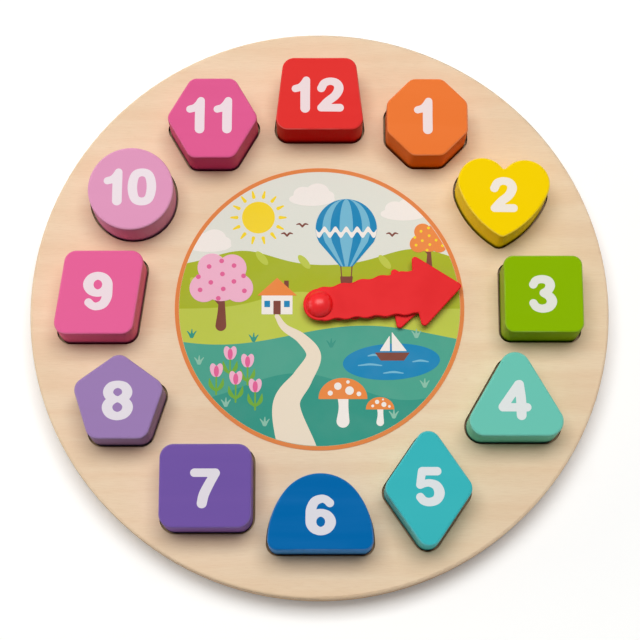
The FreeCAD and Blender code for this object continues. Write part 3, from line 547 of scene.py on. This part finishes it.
# %% [markdown]
# The picture is printed on a satin film with an orange border. The film itself carries the border's
# colour all over, and the rest of the picture is laid on top of it, ink by ink. Screen ink is not
# quite even, so one function gives every ink the same slight mottle and a soft gloss.

# %% Printing ink
MOTTLE_GREY, FILM_PALE = colour(120, 116, 110), colour(255, 250, 240)
MOTTLE_TONE, PALE_TONE = 0.04, 0.02


def printing_ink(name, tint):
    """Opaque screen ink: slightly mottled, satin, with the tooth of the film under it."""
    material, tree, shader, _, uneven = new_finish(
        name, roughness=0.42, swing=0.04, pebble=0.25 * MM, Specular_IOR_Level=0.06)
    shown = tint
    for mask, most, tone in (("Pebbles", MOTTLE_TONE, MOTTLE_GREY), ("Drift", PALE_TONE, FILM_PALE)):
        shown = blend(tree, ramp(tree, uneven[mask], 0.35, 0.7, 0.0, most), shown, tone)
    tree.links.new(shown, shader.inputs["Base Color"])
    bump(tree, shader, uneven["Pebbles"], depth=0.004 * MM)
    return material


border_ink = printing_ink("printed_card", colour(226, 130, 64))
print("border ink ready")

# %% [markdown]
# A node keeps its mesh and its place, and only its material slot changes.

# %% Dress the nodes
FINISHES = {
    "front_board": birch_face,
    "back_board": birch_core,
    "picture_label": border_ink,
    "minute_hand": red_plastic,
    "hour_hand": red_plastic,
    "hand_cap": red_gloss,
    "pipe_bush": red_bush,
    "minute_arbor": white_acetal,
    "hour_wheel": white_acetal,
    "idler_wheel": white_acetal,
    "gear_cover": grey_cover,
    "idler_pin": pin_steel,
    "cover_screws": zinc_steel,
    "friction_washer": grey_felt,
}
for name, finish in FINISHES.items():
    nodes[name].data.materials[0] = finish
print("dressed", len(FINISHES), "nodes")

# %% [markdown]
# The numerals and the picture are thin plates of ink. A pen stroke is the easiest way to describe
# such a shape: a smooth line with a width that changes along it. From strokes, discs and straight
# cuts we can work out, for every place on the sheet, how far it lies outside the shape. That number
# is a field: negative inside, zero on the outline. Two shapes join by taking the smaller field, and
# one cuts another by taking the larger of the one and the other's negative.

# %% Shapes as fields
def smooth_path(points, closed=False, steps=20):
    """A Catmull-Rom curve. Between b and c, with a before and d after them and t from 0 to 1, it is
    half of 2b + (c - a)t + (2a - 5b + 4c - d)t^2 + (3b - a - 3c + d)t^3, also for the half width."""
    points = np.asarray(points, float)
    if closed:
        before, after = points[-1:], points[:2]
    else:
        before, after = 2 * points[:1] - points[1:2], 2 * points[-1:] - points[-2:-1]
    line = np.concatenate([before, points, after])
    a, b, c, d = line[:-3, None], line[1:-2, None], line[2:-1, None], line[3:, None]
    t = np.linspace(0, 1, steps)[None, :, None]
    curve = (2 * b + (c - a) * t + (2 * a - 5 * b + 4 * c - d) * t**2
             + (3 * b - a - 3 * c + d) * t**3)
    return 0.5 * curve.reshape(-1, points.shape[1])


def stroke(x, y, points, closed=False):
    """Outside distance of a pen stroke: discs follow each other along its line, and the distance to
    a disc's middle less its radius is least for the nearest one."""
    line = smooth_path(points, closed)
    to_middles = np.hypot(x[..., None] - line[:, 0], y[..., None] - line[:, 1])
    return np.min(to_middles - line[:, 2], axis=-1)


def disc(x, y, middle_x, middle_y, radius):
    """Outside distance of a disc: distance to its middle, less its radius."""
    return np.hypot(x - middle_x, y - middle_y) - radius


def oval(x, y, middle_x, middle_y, half_width, half_height, lean=0.0):
    """Field of an ellipse that leans: (length of (u / a, v / b) - 1) times the smaller half size."""
    turn = radians(lean)
    u = (x - middle_x) * np.cos(turn) + (y - middle_y) * np.sin(turn)
    v = (y - middle_y) * np.cos(turn) - (x - middle_x) * np.sin(turn)
    return (np.hypot(u / half_width, v / half_height) - 1) * min(half_width, half_height)


def panel(x, y, corners):
    """Outside distance of a convex panel: the largest distance beyond any of its straight sides.
    The corners run counter-clockwise, so a side's outward normal is its direction turned right."""
    corners = np.asarray(corners, float)
    sides = np.roll(corners, -1, axis=0) - corners
    outward = np.stack([sides[:, 1], -sides[:, 0]], 1) / np.hypot(*sides.T)[:, None]
    beyond = ((x[..., None] - corners[:, 0]) * outward[:, 0]
              + (y[..., None] - corners[:, 1]) * outward[:, 1])
    return beyond.max(axis=-1)


def join(*fields):
    """Union: the smallest of the fields."""
    return np.minimum.reduce(fields)


def overlap(*fields):
    """Intersection: the largest of the fields."""
    return np.maximum.reduce(fields)


print("a unit disc's field at its middle:", disc(0.0, 0.0, 0, 0, 1))

# %% [markdown]
# To turn a field into an outline, lay a grid of small squares over it. Where two neighbouring grid
# points have different signs, the outline crosses between them, at the place where a straight line
# through the two values reaches zero. Which of a square's four corners are inside says how to join
# its crossings: that is marching squares. Of its sixteen cases two have no crossing, and the other
# fourteen are each done for all squares at once, so no square is visited by itself.

# %% Outline of a field
# corners count 1 lower left, 2 lower right, 4 upper right, 8 upper left; sides run bottom, right,
# top, left from 0 to 3. Each pair goes from side to side with the inside on its left.
SQUARE_CASES = {
    1: [(0, 3)], 2: [(1, 0)], 3: [(1, 3)], 4: [(2, 1)], 5: [(0, 3), (2, 1)],
    6: [(2, 0)], 7: [(2, 3)], 8: [(3, 2)], 9: [(0, 2)], 10: [(1, 0), (3, 2)],
    11: [(1, 2)], 12: [(3, 1)], 13: [(0, 1)], 14: [(3, 0)],
}
CLEAR_OF_CORNER = 0.04                  # a crossing keeps this share of a square's side clear


def crossings(field, places, axis):
    """Where the outline crosses the grid lines along one axis, as points and a table of numbers."""
    before = np.take(field, range(field.shape[axis] - 1), axis)
    after = np.take(field, range(1, field.shape[axis]), axis)
    crossed = (before < 0) != (after < 0)
    share = before[crossed] / (before - after)[crossed]
    share = np.clip(share, CLEAR_OF_CORNER, 1 - CLEAR_OF_CORNER)
    start = np.take(places, range(field.shape[axis] - 1), axis)[crossed]
    end = np.take(places, range(1, field.shape[axis]), axis)[crossed]
    numbers = np.full(crossed.shape, -1)
    numbers[crossed] = np.arange(crossed.sum())
    return start + (end - start) * share[:, None], numbers


def outline(draw, low, high, step):
    """Outline of a drawn field over a box, as points and as pairs of point numbers."""
    along_x = np.arange(low[0], high[0] + step, step)
    along_y = np.arange(low[1], high[1] + step, step)
    places = np.stack(np.meshgrid(along_x, along_y, indexing="ij"), axis=-1)
    field = draw(places[..., 0], places[..., 1])
    level_points, level = crossings(field, places, 0)
    upright_points, upright = crossings(field, places, 1)
    upright = np.where(upright < 0, -1, upright + len(level_points))
    sides = (level[:, :-1], upright[1:], level[:, 1:], upright[:-1])
    inside = (field < 0).astype(int)
    case = inside[:-1, :-1] + 2 * inside[1:, :-1] + 4 * inside[1:, 1:] + 8 * inside[:-1, 1:]
    pairs = [np.stack([sides[start][case == number], sides[end][case == number]], 1)
             for number, joins in SQUARE_CASES.items() for start, end in joins]
    return np.concatenate([level_points, upright_points]), np.concatenate(pairs)


ring = outline(lambda x, y: disc(x, y, 0, 0, 5), (-6, -6), (6, 6), 0.5)[0]
print("a disc of 5 mm has", len(ring), "outline points, mean radius",
      round(float(np.hypot(*ring.T).mean()), 3))

# %% [markdown]
# A plate is the filled outline twice, once facing up and once facing down, with a wall between.
# Blender's triangle fill covers an outline with holes in it, such as a zero, and uses only the
# outline's own points. The three sets of faces share those points, so the plate is closed.

# %% Plate from an outline
def filled(points, pairs):
    """Triangles over the inside of an outline, all facing up."""
    mesh = bpy.data.meshes.new("outline")
    mesh.from_pydata(np.c_[points, np.zeros(len(points))].tolist(), pairs.tolist(), [])
    work = bmesh.new()
    work.from_mesh(mesh)
    bmesh.ops.triangle_fill(work, use_beauty=True, edges=work.edges[:], normal=(0, 0, 1))
    work.to_mesh(mesh)
    work.free()
    corners = np.empty(len(mesh.loops), np.int32)
    mesh.loops.foreach_get("vertex_index", corners)
    bpy.data.meshes.remove(mesh)
    triangles = corners.reshape(-1, 3)
    a, b, c = points[triangles[:, 0]], points[triangles[:, 1]], points[triangles[:, 2]]
    area = (b - a)[:, 0] * (c - a)[:, 1] - (b - a)[:, 1] * (c - a)[:, 0]
    return np.where(area[:, None] < 0, triangles[:, ::-1], triangles)


def plate(name, points, pairs, low, high, finish):
    """Closed flat plate between two heights in metres. The outline is in millimetres."""
    count = len(points)
    top = filled(points, pairs)
    bottom = top[:, ::-1] + count
    start, end = pairs[:, 0], pairs[:, 1]
    walls = np.stack([start + count, end + count, end, start], 1)
    flat = points * MM
    above = np.c_[flat, np.full(count, high)]
    below = np.c_[flat, np.full(count, low)]
    faces = top.tolist() + bottom.tolist() + walls.tolist()
    mesh = bpy.data.meshes.new(name)
    mesh.from_pydata(np.r_[above, below].tolist(), [], faces)
    mesh.validate()
    mesh.materials.append(finish)
    piece = bpy.data.objects.new(name, mesh)
    scene.collection.objects.link(piece)
    return piece


print("plates are closed: top, bottom and wall share their points")

# %% [markdown]
# Several drawings can share one plate. Each is traced in a box of its own, moved to its spot, and
# its pairs are counted on from the points that came before.

# %% Several drawings in one plate
def traced(parts, step):
    """Outline points and pairs of several parts: a drawing, two corners of its box, and its spot."""
    point_sets, pair_sets, used = [], [], 0
    for draw, low, high, spot in parts:
        points, pairs = outline(draw, low, high, step)
        point_sets.append(points + np.asarray(spot, float))
        pair_sets.append(pairs + used)
        used += len(points)
    return np.concatenate(point_sets), np.concatenate(pair_sets)


two_discs = [(lambda x, y: disc(x, y, 0, 0, 2), (-3, -3), (3, 3), (spot, 0)) for spot in (0, 10)]
print("two discs have", len(traced(two_discs, 0.5)[0]), "outline points")

# %% [markdown]
# The numerals are round-ended and bold, 20 mm tall. Each digit is drawn about its own middle with
# one to three strokes. A row of a stroke is x, y and the pen's half width, in millimetres.

# %% Digits
LIGHT, BOLD = 2.1, 2.6

DIGITS = {
    "0": [([(0, 7.8, LIGHT), (3.6, 6.1, 2.3), (4.9, 0, 2.45), (3.6, -6.1, 2.3), (0, -7.8, LIGHT),
            (-3.6, -6.1, 2.3), (-4.9, 0, 2.45), (-3.6, 6.1, 2.3)], True)],
    "1": [([(2.75, 7.9, 2.0), (2.35, 4, 2.4), (2.2, 0, 2.5), (2.2, -7.4, 2.5)], False),
          ([(-2.9, 3.3, 1.95), (-0.4, 4.1, 2.0), (1.4, 5.8, 2.0), (2.75, 7.9, 2.0)], False)],
    "2": [([(-4.7, 3.5, 2.15), (-3.1, 6.3, 2.1), (0, 7.35, 2.0), (3.2, 6.3, 2.2), (4.4, 3.4, 2.45),
            (2.6, -0.4, 2.3), (-1.5, -3.8, 2.2), (-4.8, -7.15, 2.0)], False),
          ([(-4.8, -7.2, 2.0), (4.9, -7.2, LIGHT)], False)],
    "3": [([(-4.6, 4.8, LIGHT), (-3.1, 6.9, LIGHT), (0, 7.65, LIGHT), (3.0, 6.7, 2.3), (4.0, 4.4, 2.45),
            (2.9, 1.9, 2.2), (0.5, 0.4, 2.0)], False),
          ([(0.5, 0.4, 2.0), (3.3, -1.2, 2.3), (4.7, -3.9, BOLD), (3.3, -6.7, 2.35),
            (-0.1, -7.75, LIGHT), (-3.2, -6.9, LIGHT), (-4.7, -4.9, LIGHT)], False)],
    "4": [([(2.5, 7.8, 2.3), (3.2, 0, 2.5), (3.3, -7.8, 2.45)], False),
          ([(2.1, 7.7, 2.3), (-1.9, 2.2, 2.2), (-6.0, -3.6, 2.2)], False),
          ([(-6.0, -3.8, LIGHT), (6.2, -3.8, LIGHT)], False)],
    "5": [([(-3.8, 7.8, LIGHT), (3.6, 7.8, LIGHT)], False),
          ([(-3.9, 7.7, LIGHT), (-4.5, 4.2, 2.0), (-4.9, 1.0, 2.0)], False),
          ([(-4.9, 1.0, 2.0), (-2.6, 1.7, 1.8), (0, 1.9, 1.9), (3.2, 0.5, 2.3), (4.6, -3.0, BOLD),
            (3.2, -6.3, 2.3), (-0.2, -7.55, LIGHT), (-3.2, -6.9, LIGHT), (-4.9, -5.1, LIGHT)], False)],
    "6": [([(4.5, 5.9, LIGHT), (2.8, 7.4, 2.0), (0.4, 8.0, 2.0), (-2.9, 6.6, 2.3), (-4.7, 3.0, 2.5),
            (-4.95, -0.5, 2.55), (-4.85, -3.4, 2.65)], False),
          ([(0, 1.05, 1.9), (3.4, -0.3, 2.3), (4.85, -3.45, 2.65), (3.4, -6.6, 2.35), (0, -8.0, 2.05),
            (-3.4, -6.6, 2.35), (-4.85, -3.45, 2.65), (-3.4, -0.3, 2.3)], True)],
    "7": [([(-5.3, 7.8, LIGHT), (5.2, 7.8, LIGHT)], False),
          ([(5.2, 7.6, 2.2), (2.2, 2.4, 2.4), (-0.4, -3.0, 2.55), (-1.4, -7.4, 2.5)], False)],
    "8": [([(0, 8.2, 1.85), (3.4, 7.05, 2.25), (4.8, 4.3, 2.55), (3.6, 1.85, 2.25), (0, 0.6, 1.55),
            (-3.6, 1.85, 2.25), (-4.8, 4.3, 2.55), (-3.4, 7.05, 2.25)], True),
          ([(0, 0.6, 1.55), (3.8, -0.75, 2.3), (5.15, -3.5, 2.65), (3.65, -6.6, 2.4), (0, -7.95, LIGHT),
            (-3.65, -6.6, 2.4), (-5.15, -3.5, 2.65), (-3.8, -0.75, 2.3)], True)],
}
DIGITS["9"] = [([(-x, -y, pen) for x, y, pen in points], closed) for points, closed in DIGITS["6"]]
print("digits:", "".join(sorted(DIGITS)))

# %% [markdown]
# A numeral stands about in the middle of its block. Hand-fed printing is off by a millimetre or two,
# and on the triangle it stands lower, where there is more room. The ink is a fiftieth of a
# millimetre thick. It is white, but so thin that about a sixth of the paint's colour shows through.
# It rides on its block, so it lifts out with it.

# %% Print the numerals
INK_THICKNESS = 0.02 * MM
NUMERAL_STEP = 0.25
DIGIT_BOX = ((-9, -11), (9, 11))

NUMERALS = {
    "octagon": ([("1", 0)], (-2.05, 0.5)),
    "heart": ([("2", 0)], (-0.3, 1.2)),
    "square": ([("3", 0)], (-0.7, -0.1)),
    "triangle": ([("4", 0)], (-0.8, -3.15)),
    "rhombus": ([("5", 0)], (0.55, 0.55)),
    "arch": ([("6", 0)], (0.1, -1.7)),
    "rectangle": ([("7", 0)], (-0.15, -1.4)),
    "pentagon": ([("8", 0)], (-0.2, -2.0)),
    "parallelogram": ([("9", 0)], (-0.45, 0.4)),
    "circle": ([("1", -8.2), ("0", 6.7)], (-0.8, 0.8)),
    "hexagon": ([("1", -7.1), ("1", 7.1)], (-1.6, 1.3)),
    "trapezoid": ([("1", -7.7), ("2", 7.6)], (-1.95, -0.75)),
}
INK_WHITE = np.array(colour(243, 238, 241))
SHOW_THROUGH = 0.18


def digit_drawing(digit):
    """The joined strokes of one digit."""
    return lambda x, y: join(*[stroke(x, y, points, closed) for points, closed in DIGITS[digit]])


for shape, (row, (aside, up)) in NUMERALS.items():
    low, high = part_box(block_of[shape])
    middle = np.array([(low.x + high.x) / 2 / MM + aside, (low.y + high.y) / 2 / MM + up])
    parts = [(digit_drawing(digit), *DIGIT_BOX, middle + (shift, 0)) for digit, shift in row]
    tint = INK_WHITE + SHOW_THROUGH * (np.array(PAINTS[shape][0]) - INK_WHITE)
    piece = plate("numeral_on_" + shape, *traced(parts, NUMERAL_STEP), high.z,
                  high.z + INK_THICKNESS, printing_ink("numeral_ink_" + shape, tint.tolist()))
    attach(piece, shape + "_block")
print("printed", len(NUMERALS), "numerals")

# %% [markdown]
# The picture is a country scene: hills, a pond, a house, trees and a balloon. It is printed ink over
# ink, and each ink has a level in the stack, so that a roof covers the wall behind it. Every ink
# stops inside the orange border and clear of the bush in the middle, a hair further in than the ink
# below it. A drawing may be printed at several spots.

# %% Inks of the picture
PICTURE_RADIUS = 72.9
BUSH_CLEARANCE = 7.05
STEP_IN = 0.03
PICTURE_STEP = 0.3
WHOLE = ((-74, -74), (74, 74))
picture_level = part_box("picture_label")[1].z

INKS = {name: printing_ink("ink_" + name, tint) for name, tint in {
    "sky": colour(226, 226, 216),
    "white": colour(244, 236, 230),
    "yellow": colour(247, 214, 30),
    "lime": colour(168, 180, 26),
    "pale_lime": colour(190, 201, 72),
    "teal": colour(72, 162, 140),
    "deep_teal": colour(45, 148, 130),
    "mint": colour(140, 192, 170),
    "cream": colour(238, 222, 200),
    "blue": colour(0, 132, 184),
    "pale_blue": colour(115, 184, 212),
    "brown": colour(125, 62, 48),
    "orange": colour(236, 136, 62),
    "pink": colour(242, 180, 205),
    "rose": colour(228, 96, 150),
    "leaf": colour(112, 170, 52),
}.items()}


def print_ink(name, level, ink, draw, box=WHOLE, spots=((0, 0),)):
    """Prints a drawing at its spots, as one plate that rides on the board."""
    rim, hole = PICTURE_RADIUS - STEP_IN * level, BUSH_CLEARANCE + STEP_IN * level

    def kept(spot):
        """The drawing as it is printed at a spot: within a ring about the clock's middle."""
        def drawn(x, y):
            """The largest of the drawing's field, the distance less the rim, and the hole less the
            distance, where the distance is from the clock's middle."""
            from_middle = np.hypot(x + spot[0], y + spot[1])
            return overlap(draw(x, y), from_middle - rim, hole - from_middle)
        return drawn

    points, pairs = traced([(kept(spot), *box, spot) for spot in spots], PICTURE_STEP)
    piece = plate("print_" + name, points, pairs, picture_level,
                  picture_level + level * INK_THICKNESS, INKS[ink])
    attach(piece, "board")


def square_box(half):
    """A box that reaches the same distance each way."""
    return (-half, -half), (half, half)


def panels(*corner_sets):
    """A drawing of several panels, joined."""
    return lambda x, y: join(*[panel(x, y, corners) for corners in corner_sets])


def discs(rows):
    """A drawing of several discs, joined. A row is a disc's middle and its radius."""
    return lambda x, y: join(*[disc(x, y, *row) for row in rows])


def print_scaled(name, parts, reach, spot, size):
    """Prints parts, each a name, level, ink and drawing, at one spot and size. The reach is half
    the side of a box that holds the drawing at full size."""
    for part, level, ink, draw in parts:
        def scaled(x, y):
            """The drawing's distance at the coordinates over the size, times the size."""
            return size * draw(x / size, y / size)
        print_ink(name + "_" + part, level, ink, scaled, square_box(reach * size), [spot])


print(len(INKS), "inks, the picture starts at", round(picture_level / MM, 2), "mm")

# %% [markdown]
# The sky comes first, over the whole disc. On it stand the sun, a disc with a ring of short rays,
# clouds made of four ovals, and birds, each of two bent wings.

# %% Sky
SUN_RADIUS, RAYS = 8.6, 14
RAY_ENDS = ((11.4, 0.95), (14.4, 0.45))     # distance from the sun's middle, and half width


def sun(x, y):
    """A disc joined with strokes at even turns, each from one distance to another: its points are
    the distance times the turn's cosine and sine."""
    turns = np.linspace(0, 2 * np.pi, RAYS, endpoint=False)
    rays = [stroke(x, y, [(reach * np.cos(turn), reach * np.sin(turn), pen)
                          for reach, pen in RAY_ENDS]) for turn in turns]
    return join(disc(x, y, 0, 0, SUN_RADIUS), *rays)


def cloud(x, y):
    """Four ovals joined, the widest one lying under the others."""
    return join(oval(x, y, 0, 0, 12, 3.6), oval(x, y, -4.5, 2.6, 5.2, 4.2),
                oval(x, y, 3, 3.6, 6.2, 5), oval(x, y, 8, 1.6, 3.8, 3))


def bird(x, y):
    """A bent wing joined with its mirror image, which is the same wing at minus x."""
    wing = [(-3, 1.2, 0.25), (-1.4, 1.5, 0.5), (0, 0, 0.45)]
    return join(stroke(x, y, wing), stroke(-x, y, wing))


print_ink("sky", 1, "sky", lambda x, y: np.full(x.shape, -1.0))
print_ink("clouds", 2, "white", cloud, ((-13, -5), (13, 10)), [(-4, 58), (44, 50), (-58, 33)])
print_ink("sun", 2, "yellow", sun, square_box(16), [(-32, 48)])
print_ink("birds", 2, "brown", bird, square_box(4), [(-9, 43), (-17, 38), (38, 38)])
print("sky printed")

# %% [markdown]
# The land is a few inks that each fill everything below a skyline. A skyline is a level plus
# rounded rises, or plus a slow wave. Pale leaves are scattered on the hills and tufts on the meadow.

# %% Hills and meadow
def swell(x, middle, width, height):
    """A rounded rise: height times e to the power minus ((x - middle) / width) squared."""
    return height * np.exp(-(((x - middle) / width) ** 2))


def wave(x, height, length, start):
    """A slow wave: height times the sine of (x / length + start)."""
    return height * np.sin(x / length + start)


def leaf(x, y):
    """An oval with its long side turned 50 degrees clockwise."""
    return oval(x, y, 0, 0, 4.6, 1.9, -50)


def tuft(x, y):
    """Three pointed strokes joined: one stands up, and one bends away on each side."""
    blades = [[(-0.4, 0, 0.55), (-1.3, 1.8, 0.45), (-2.4, 3.2, 0.2)],
              [(0, 0, 0.6), (0, 2.2, 0.5), (0.1, 4.2, 0.2)],
              [(0.4, 0, 0.55), (1.3, 1.8, 0.45), (2.4, 3.2, 0.2)]]
    return join(*[stroke(x, y, blade) for blade in blades])


print_ink("far_hills", 3, "lime",
          lambda x, y: y - 22 - swell(x, -40, 22, 8) - swell(x, 50, 24, 9))
print_ink("near_hill", 4, "pale_lime", lambda x, y: y + 1 - swell(x, -10, 26, 9))
print_ink("meadow", 5, "teal", lambda x, y: y + 15 - wave(x, 5, 24, 0.6))
print_ink("low_meadow", 6, "deep_teal", lambda x, y: y + 42 - wave(x, 7, 18, 2.2))
print_ink("hill_leaves", 7, "pale_lime", leaf, square_box(5),
          [(-8, 24), (-64, 12), (34, 24), (-30, 26)])
TUFT_BOX = ((-4, -2), (4, 5))
print_ink("pale_tufts", 7, "mint", tuft, TUFT_BOX,
          [(54, -42), (-62, -30), (-28, -62), (50, -16), (-48, -52), (38, -58)])
print_ink("dark_tufts", 7, "deep_teal", tuft, TUFT_BOX,
          [(-34, -18), (6, -21), (-66, -16), (4, -62)])
print("land printed")

# %% [markdown]
# A cream path winds down from the house and widens towards us. To its right lies a pond with
# ripples, and a small boat with two sails.

# %% Path, pond and boat
PATH = [(-22, -5, 1.2), (-18, -11, 1.9), (-9, -17, 2.8), (-3, -26, 3.8),
        (-9, -38, 5.2), (-17, -52, 7), (-11, -76, 10)]
RIPPLES = ((20, 6, -31), (33, 5, -35), (48, 4, -29), (25, 3, -26))  # start, half length, level
RIPPLE_RISE, RIPPLE_END, RIPPLE_MIDDLE = 0.6, 0.3, 0.55
HULL = [(31.5, -28.4), (43.5, -28.4), (46.5, -24.2), (28.5, -24.2)]
SAILS = ([(37.3, -23.4), (45, -23.4), (37.3, -13.2)], [(31, -23.4), (36.3, -23.4), (36.3, -15)])


def ripples(x, y):
    """Short level strokes joined. Each rises a little, and is broader, in its middle."""
    return join(*[stroke(x, y, [(start, level, RIPPLE_END),
                                (start + half, level + RIPPLE_RISE, RIPPLE_MIDDLE),
                                (start + 2 * half, level, RIPPLE_END)])
                  for start, half, level in RIPPLES])


print_ink("path", 7, "cream", lambda x, y: stroke(x, y, PATH))
print_ink("pond", 7, "blue", lambda x, y: oval(x, y, 37, -29, 25, 9.5, 3), ((10, -42), (64, -16)))
print_ink("ripples", 8, "pale_blue", ripples, ((16, -38), (60, -22)))
print_ink("boat_hull", 9, "brown", panels(HULL), ((26, -30), (48, -22)))
print_ink("boat_sails", 9, "white", panels(*SAILS), ((30, -25), (47, -12)))
print("water printed")

# %% [markdown]
# The house is built of straight-sided panels, from the chimney at the back to the windows in front.

# %% House
def upright(left, low, right, high):
    """Corners of an upright rectangle, counter-clockwise from the lower left."""
    return [(left, low), (right, low), (right, high), (left, high)]


HOUSE_BOX, HOUSE_SPOT = ((-11, -8), (11, 14)), [(-22, 3)]
HOUSE_PARTS = [
    ("chimney", 7, "brown", [upright(3.6, 4, 6, 11)]),
    ("walls", 8, "white", [upright(-8, -7, 8, 3.5)]),
    ("roof", 9, "orange", [[(-10.3, 3), (10.3, 3), (0, 12.5)]]),
    ("door", 9, "brown", [upright(-1.9, -7, 1.9, 0.2)]),
    ("windows", 9, "blue", [upright(-6.6, -3.2, -3.6, 0.2), upright(3.6, -3.2, 6.6, 0.2)]),
]
for name, level, ink, corner_sets in HOUSE_PARTS:
    print_ink(name, level, ink, panels(*corner_sets), HOUSE_BOX, HOUSE_SPOT)
print("house printed")

# %% [markdown]
# Two trees of one drawing stand left and right, one large and in blossom, the other small and in
# autumn colours.

# %% Trees
CROWN = [(0, 5, 11), (-9, 1, 7.5), (9, 1, 7.5), (-5, 12, 7.5), (5.5, 11.5, 7.5)]
FRUIT_PLACES = [(-11, 0), (-5.5, 4), (1, 0.5), (6.5, 4.5), (12, -0.5), (-6.5, 12.5), (0, 15.5),
                (6.5, 13), (0.5, 8.5), (-1.5, -4.5), (-12, 7), (11.5, 7.5)]
FRUIT_RADIUS, TREE_REACH = 1.25, 22
TREES = [("blossom", (-51, 9), 1.0, "pink", "rose"), ("autumn", (57, 33), 0.6, "orange", "yellow")]


def trunk(x, y):
    """A stroke that narrows upwards, joined with one branch to the left."""
    return join(stroke(x, y, [(0, -19, 2.8), (0.3, -10, 1.9), (0, 2, 1.3)]),
                stroke(x, y, [(0.2, -8, 1.1), (-3.2, -4, 0.9), (-4.4, 1, 0.7)]))


fruit = discs([(*spot, FRUIT_RADIUS) for spot in FRUIT_PLACES])
for name, spot, size, leaf_ink, fruit_ink in TREES:
    parts = [("trunk", 8, "brown", trunk), ("crown", 9, leaf_ink, discs(CROWN)),
             ("fruit", 10, fruit_ink, fruit)]
    print_scaled(name, parts, TREE_REACH, spot, size)
print("trees printed")

# %% [markdown]
# The balloon's skin is sewn from upright gores. Seen from the side, each gore lies between two
# shares of the balloon's half width at that height, so the seams bend with the outline. The half
# width follows a circle, and below it a straight taper to the mouth.

# %% Balloon
SKIN_RADIUS = 16.0
TAPER_TOP, TAPER_FOOT, MOUTH = -7.5, -20.5, 3.2
MIDDLE_GORE, SIDE_GORE, BAND_REACH = (-1, 0.22), (0.52, 0.78), (-1, 0.995)    # shares of the half width
BAND_LEVEL, BAND_SWING, BAND_TURNS, BAND_HALF = -2, 1.6, 1.1, 1.5
BALLOON_BOX, BALLOON_SPOT = ((-18, -34), (18, 18)), [(14, 42)]


def gore(x, y, inner, outer):
    """Field of the skin between two shares of its half width, which is the root of radius squared
    less y squared, and on the taper runs straight from its widest to the mouth."""
    rounded = np.sqrt(np.clip(SKIN_RADIUS**2 - y**2, 0, None))
    widest = np.sqrt(SKIN_RADIUS**2 - TAPER_TOP**2)
    taper = MOUTH + (widest - MOUTH) * (y - TAPER_FOOT) / (TAPER_TOP - TAPER_FOOT)
    half = np.where(y > TAPER_TOP, rounded, taper)
    return overlap(inner * half - np.abs(x), np.abs(x) - outer * half, TAPER_FOOT - y)


def band(x, y):
    """The skin overlapped with a wavy band: the distance up or down from level + swing * cosine of
    (x * turns), less half the band's height."""
    from_wave = np.abs(y - BAND_LEVEL - BAND_SWING * np.cos(x * BAND_TURNS))
    return overlap(gore(x, y, *BAND_REACH), from_wave - BAND_HALF)


def basket(x, y):
    """Two ropes, one the mirror image of the other, joined with the basket's panel."""
    rope = [(2.9, -20.5, 0.3), (2.5, -26, 0.3)]
    return join(stroke(x, y, rope), stroke(-x, y, rope),
                panel(x, y, [(-2.7, -31.5), (2.7, -31.5), (3.3, -25.8), (-3.3, -25.8)]))


def pale_gores(x, y):
    """The middle gore joined with the pair of gores on its sides."""
    return join(gore(x, y, *MIDDLE_GORE), gore(x, y, *SIDE_GORE))


BALLOON_PARTS = [
    ("skin", 9, "blue", lambda x, y: gore(x, y, -1, 1)),
    ("gores", 10, "pale_blue", pale_gores),
    ("band", 11, "white", band),
    ("basket", 9, "brown", basket),
]
for name, level, ink, draw in BALLOON_PARTS:
    print_ink("balloon_" + name, level, ink, draw, BALLOON_BOX, BALLOON_SPOT)
print("balloon printed")

# %% [markdown]
# In front grow tulips, left of the path, and mushrooms, right of it. A tulip's flower is two
# leaning ovals with a darker petal between them. A mushroom's cap is the upper part of an oval.

# %% Tulips and mushrooms
TULIPS = [(-46, -27), (-37, -31), (-53, -36), (-43, -40), (-33, -44)]
FLOWER_BOX = ((-5, -2), (5, 8))
CAP_FOOT, MUSHROOM_REACH = -1.5, 17
CAP_DOTS = [(-6.5, 1.6, 1.3), (-2.6, 5.2, 1.9), (3.4, 2.9, 2.2), (8.2, 1.2, 1.2), (2.6, 7.4, 0.9)]
STEM = [(0, -13, 3.3), (0.3, -6, 2.5), (0, 1, 2.9)]


def tulip_green(x, y):
    """A stem, joined with a blade and the blade's mirror image."""
    blade = [(0, -8.5, 0.35), (2.7, -5.5, 1.05), (3.6, -1.8, 0.2)]
    return join(stroke(x, y, [(0, -10, 0.5), (0, 1, 0.45)]),
                stroke(x, y, blade), stroke(-x, y, blade))


def tulip_petals(x, y):
    """Two upright ovals joined, each leaning 14 degrees outwards."""
    return join(oval(x, y, -1.3, 2.6, 1.9, 3.6, 14), oval(x, y, 1.3, 2.6, 1.9, 3.6, -14))


def mushroom_cap(x, y):
    """An oval overlapped with everything above the cap's foot, whose field is foot - y."""
    return overlap(oval(x, y, 0, -1, 12.5, 10.5), CAP_FOOT - y)


MUSHROOM_PARTS = [("stem", 8, "white", lambda x, y: stroke(x, y, STEM)),
                  ("cap", 9, "orange", mushroom_cap), ("dots", 10, "white", discs(CAP_DOTS))]
print_ink("tulip_green", 8, "leaf", tulip_green, ((-6, -12), (6, 4)), TULIPS)
print_ink("tulip_petals", 9, "pink", tulip_petals, FLOWER_BOX, TULIPS)
print_ink("tulip_hearts", 10, "rose", lambda x, y: oval(x, y, 0, 2, 1.3, 2.9), FLOWER_BOX, TULIPS)
for name, spot, size in (("large", (12, -47), 1.0), ("small", (31, -53), 0.58)):
    print_scaled(name, MUSHROOM_PARTS, MUSHROOM_REACH, spot, size)
print("picture printed")
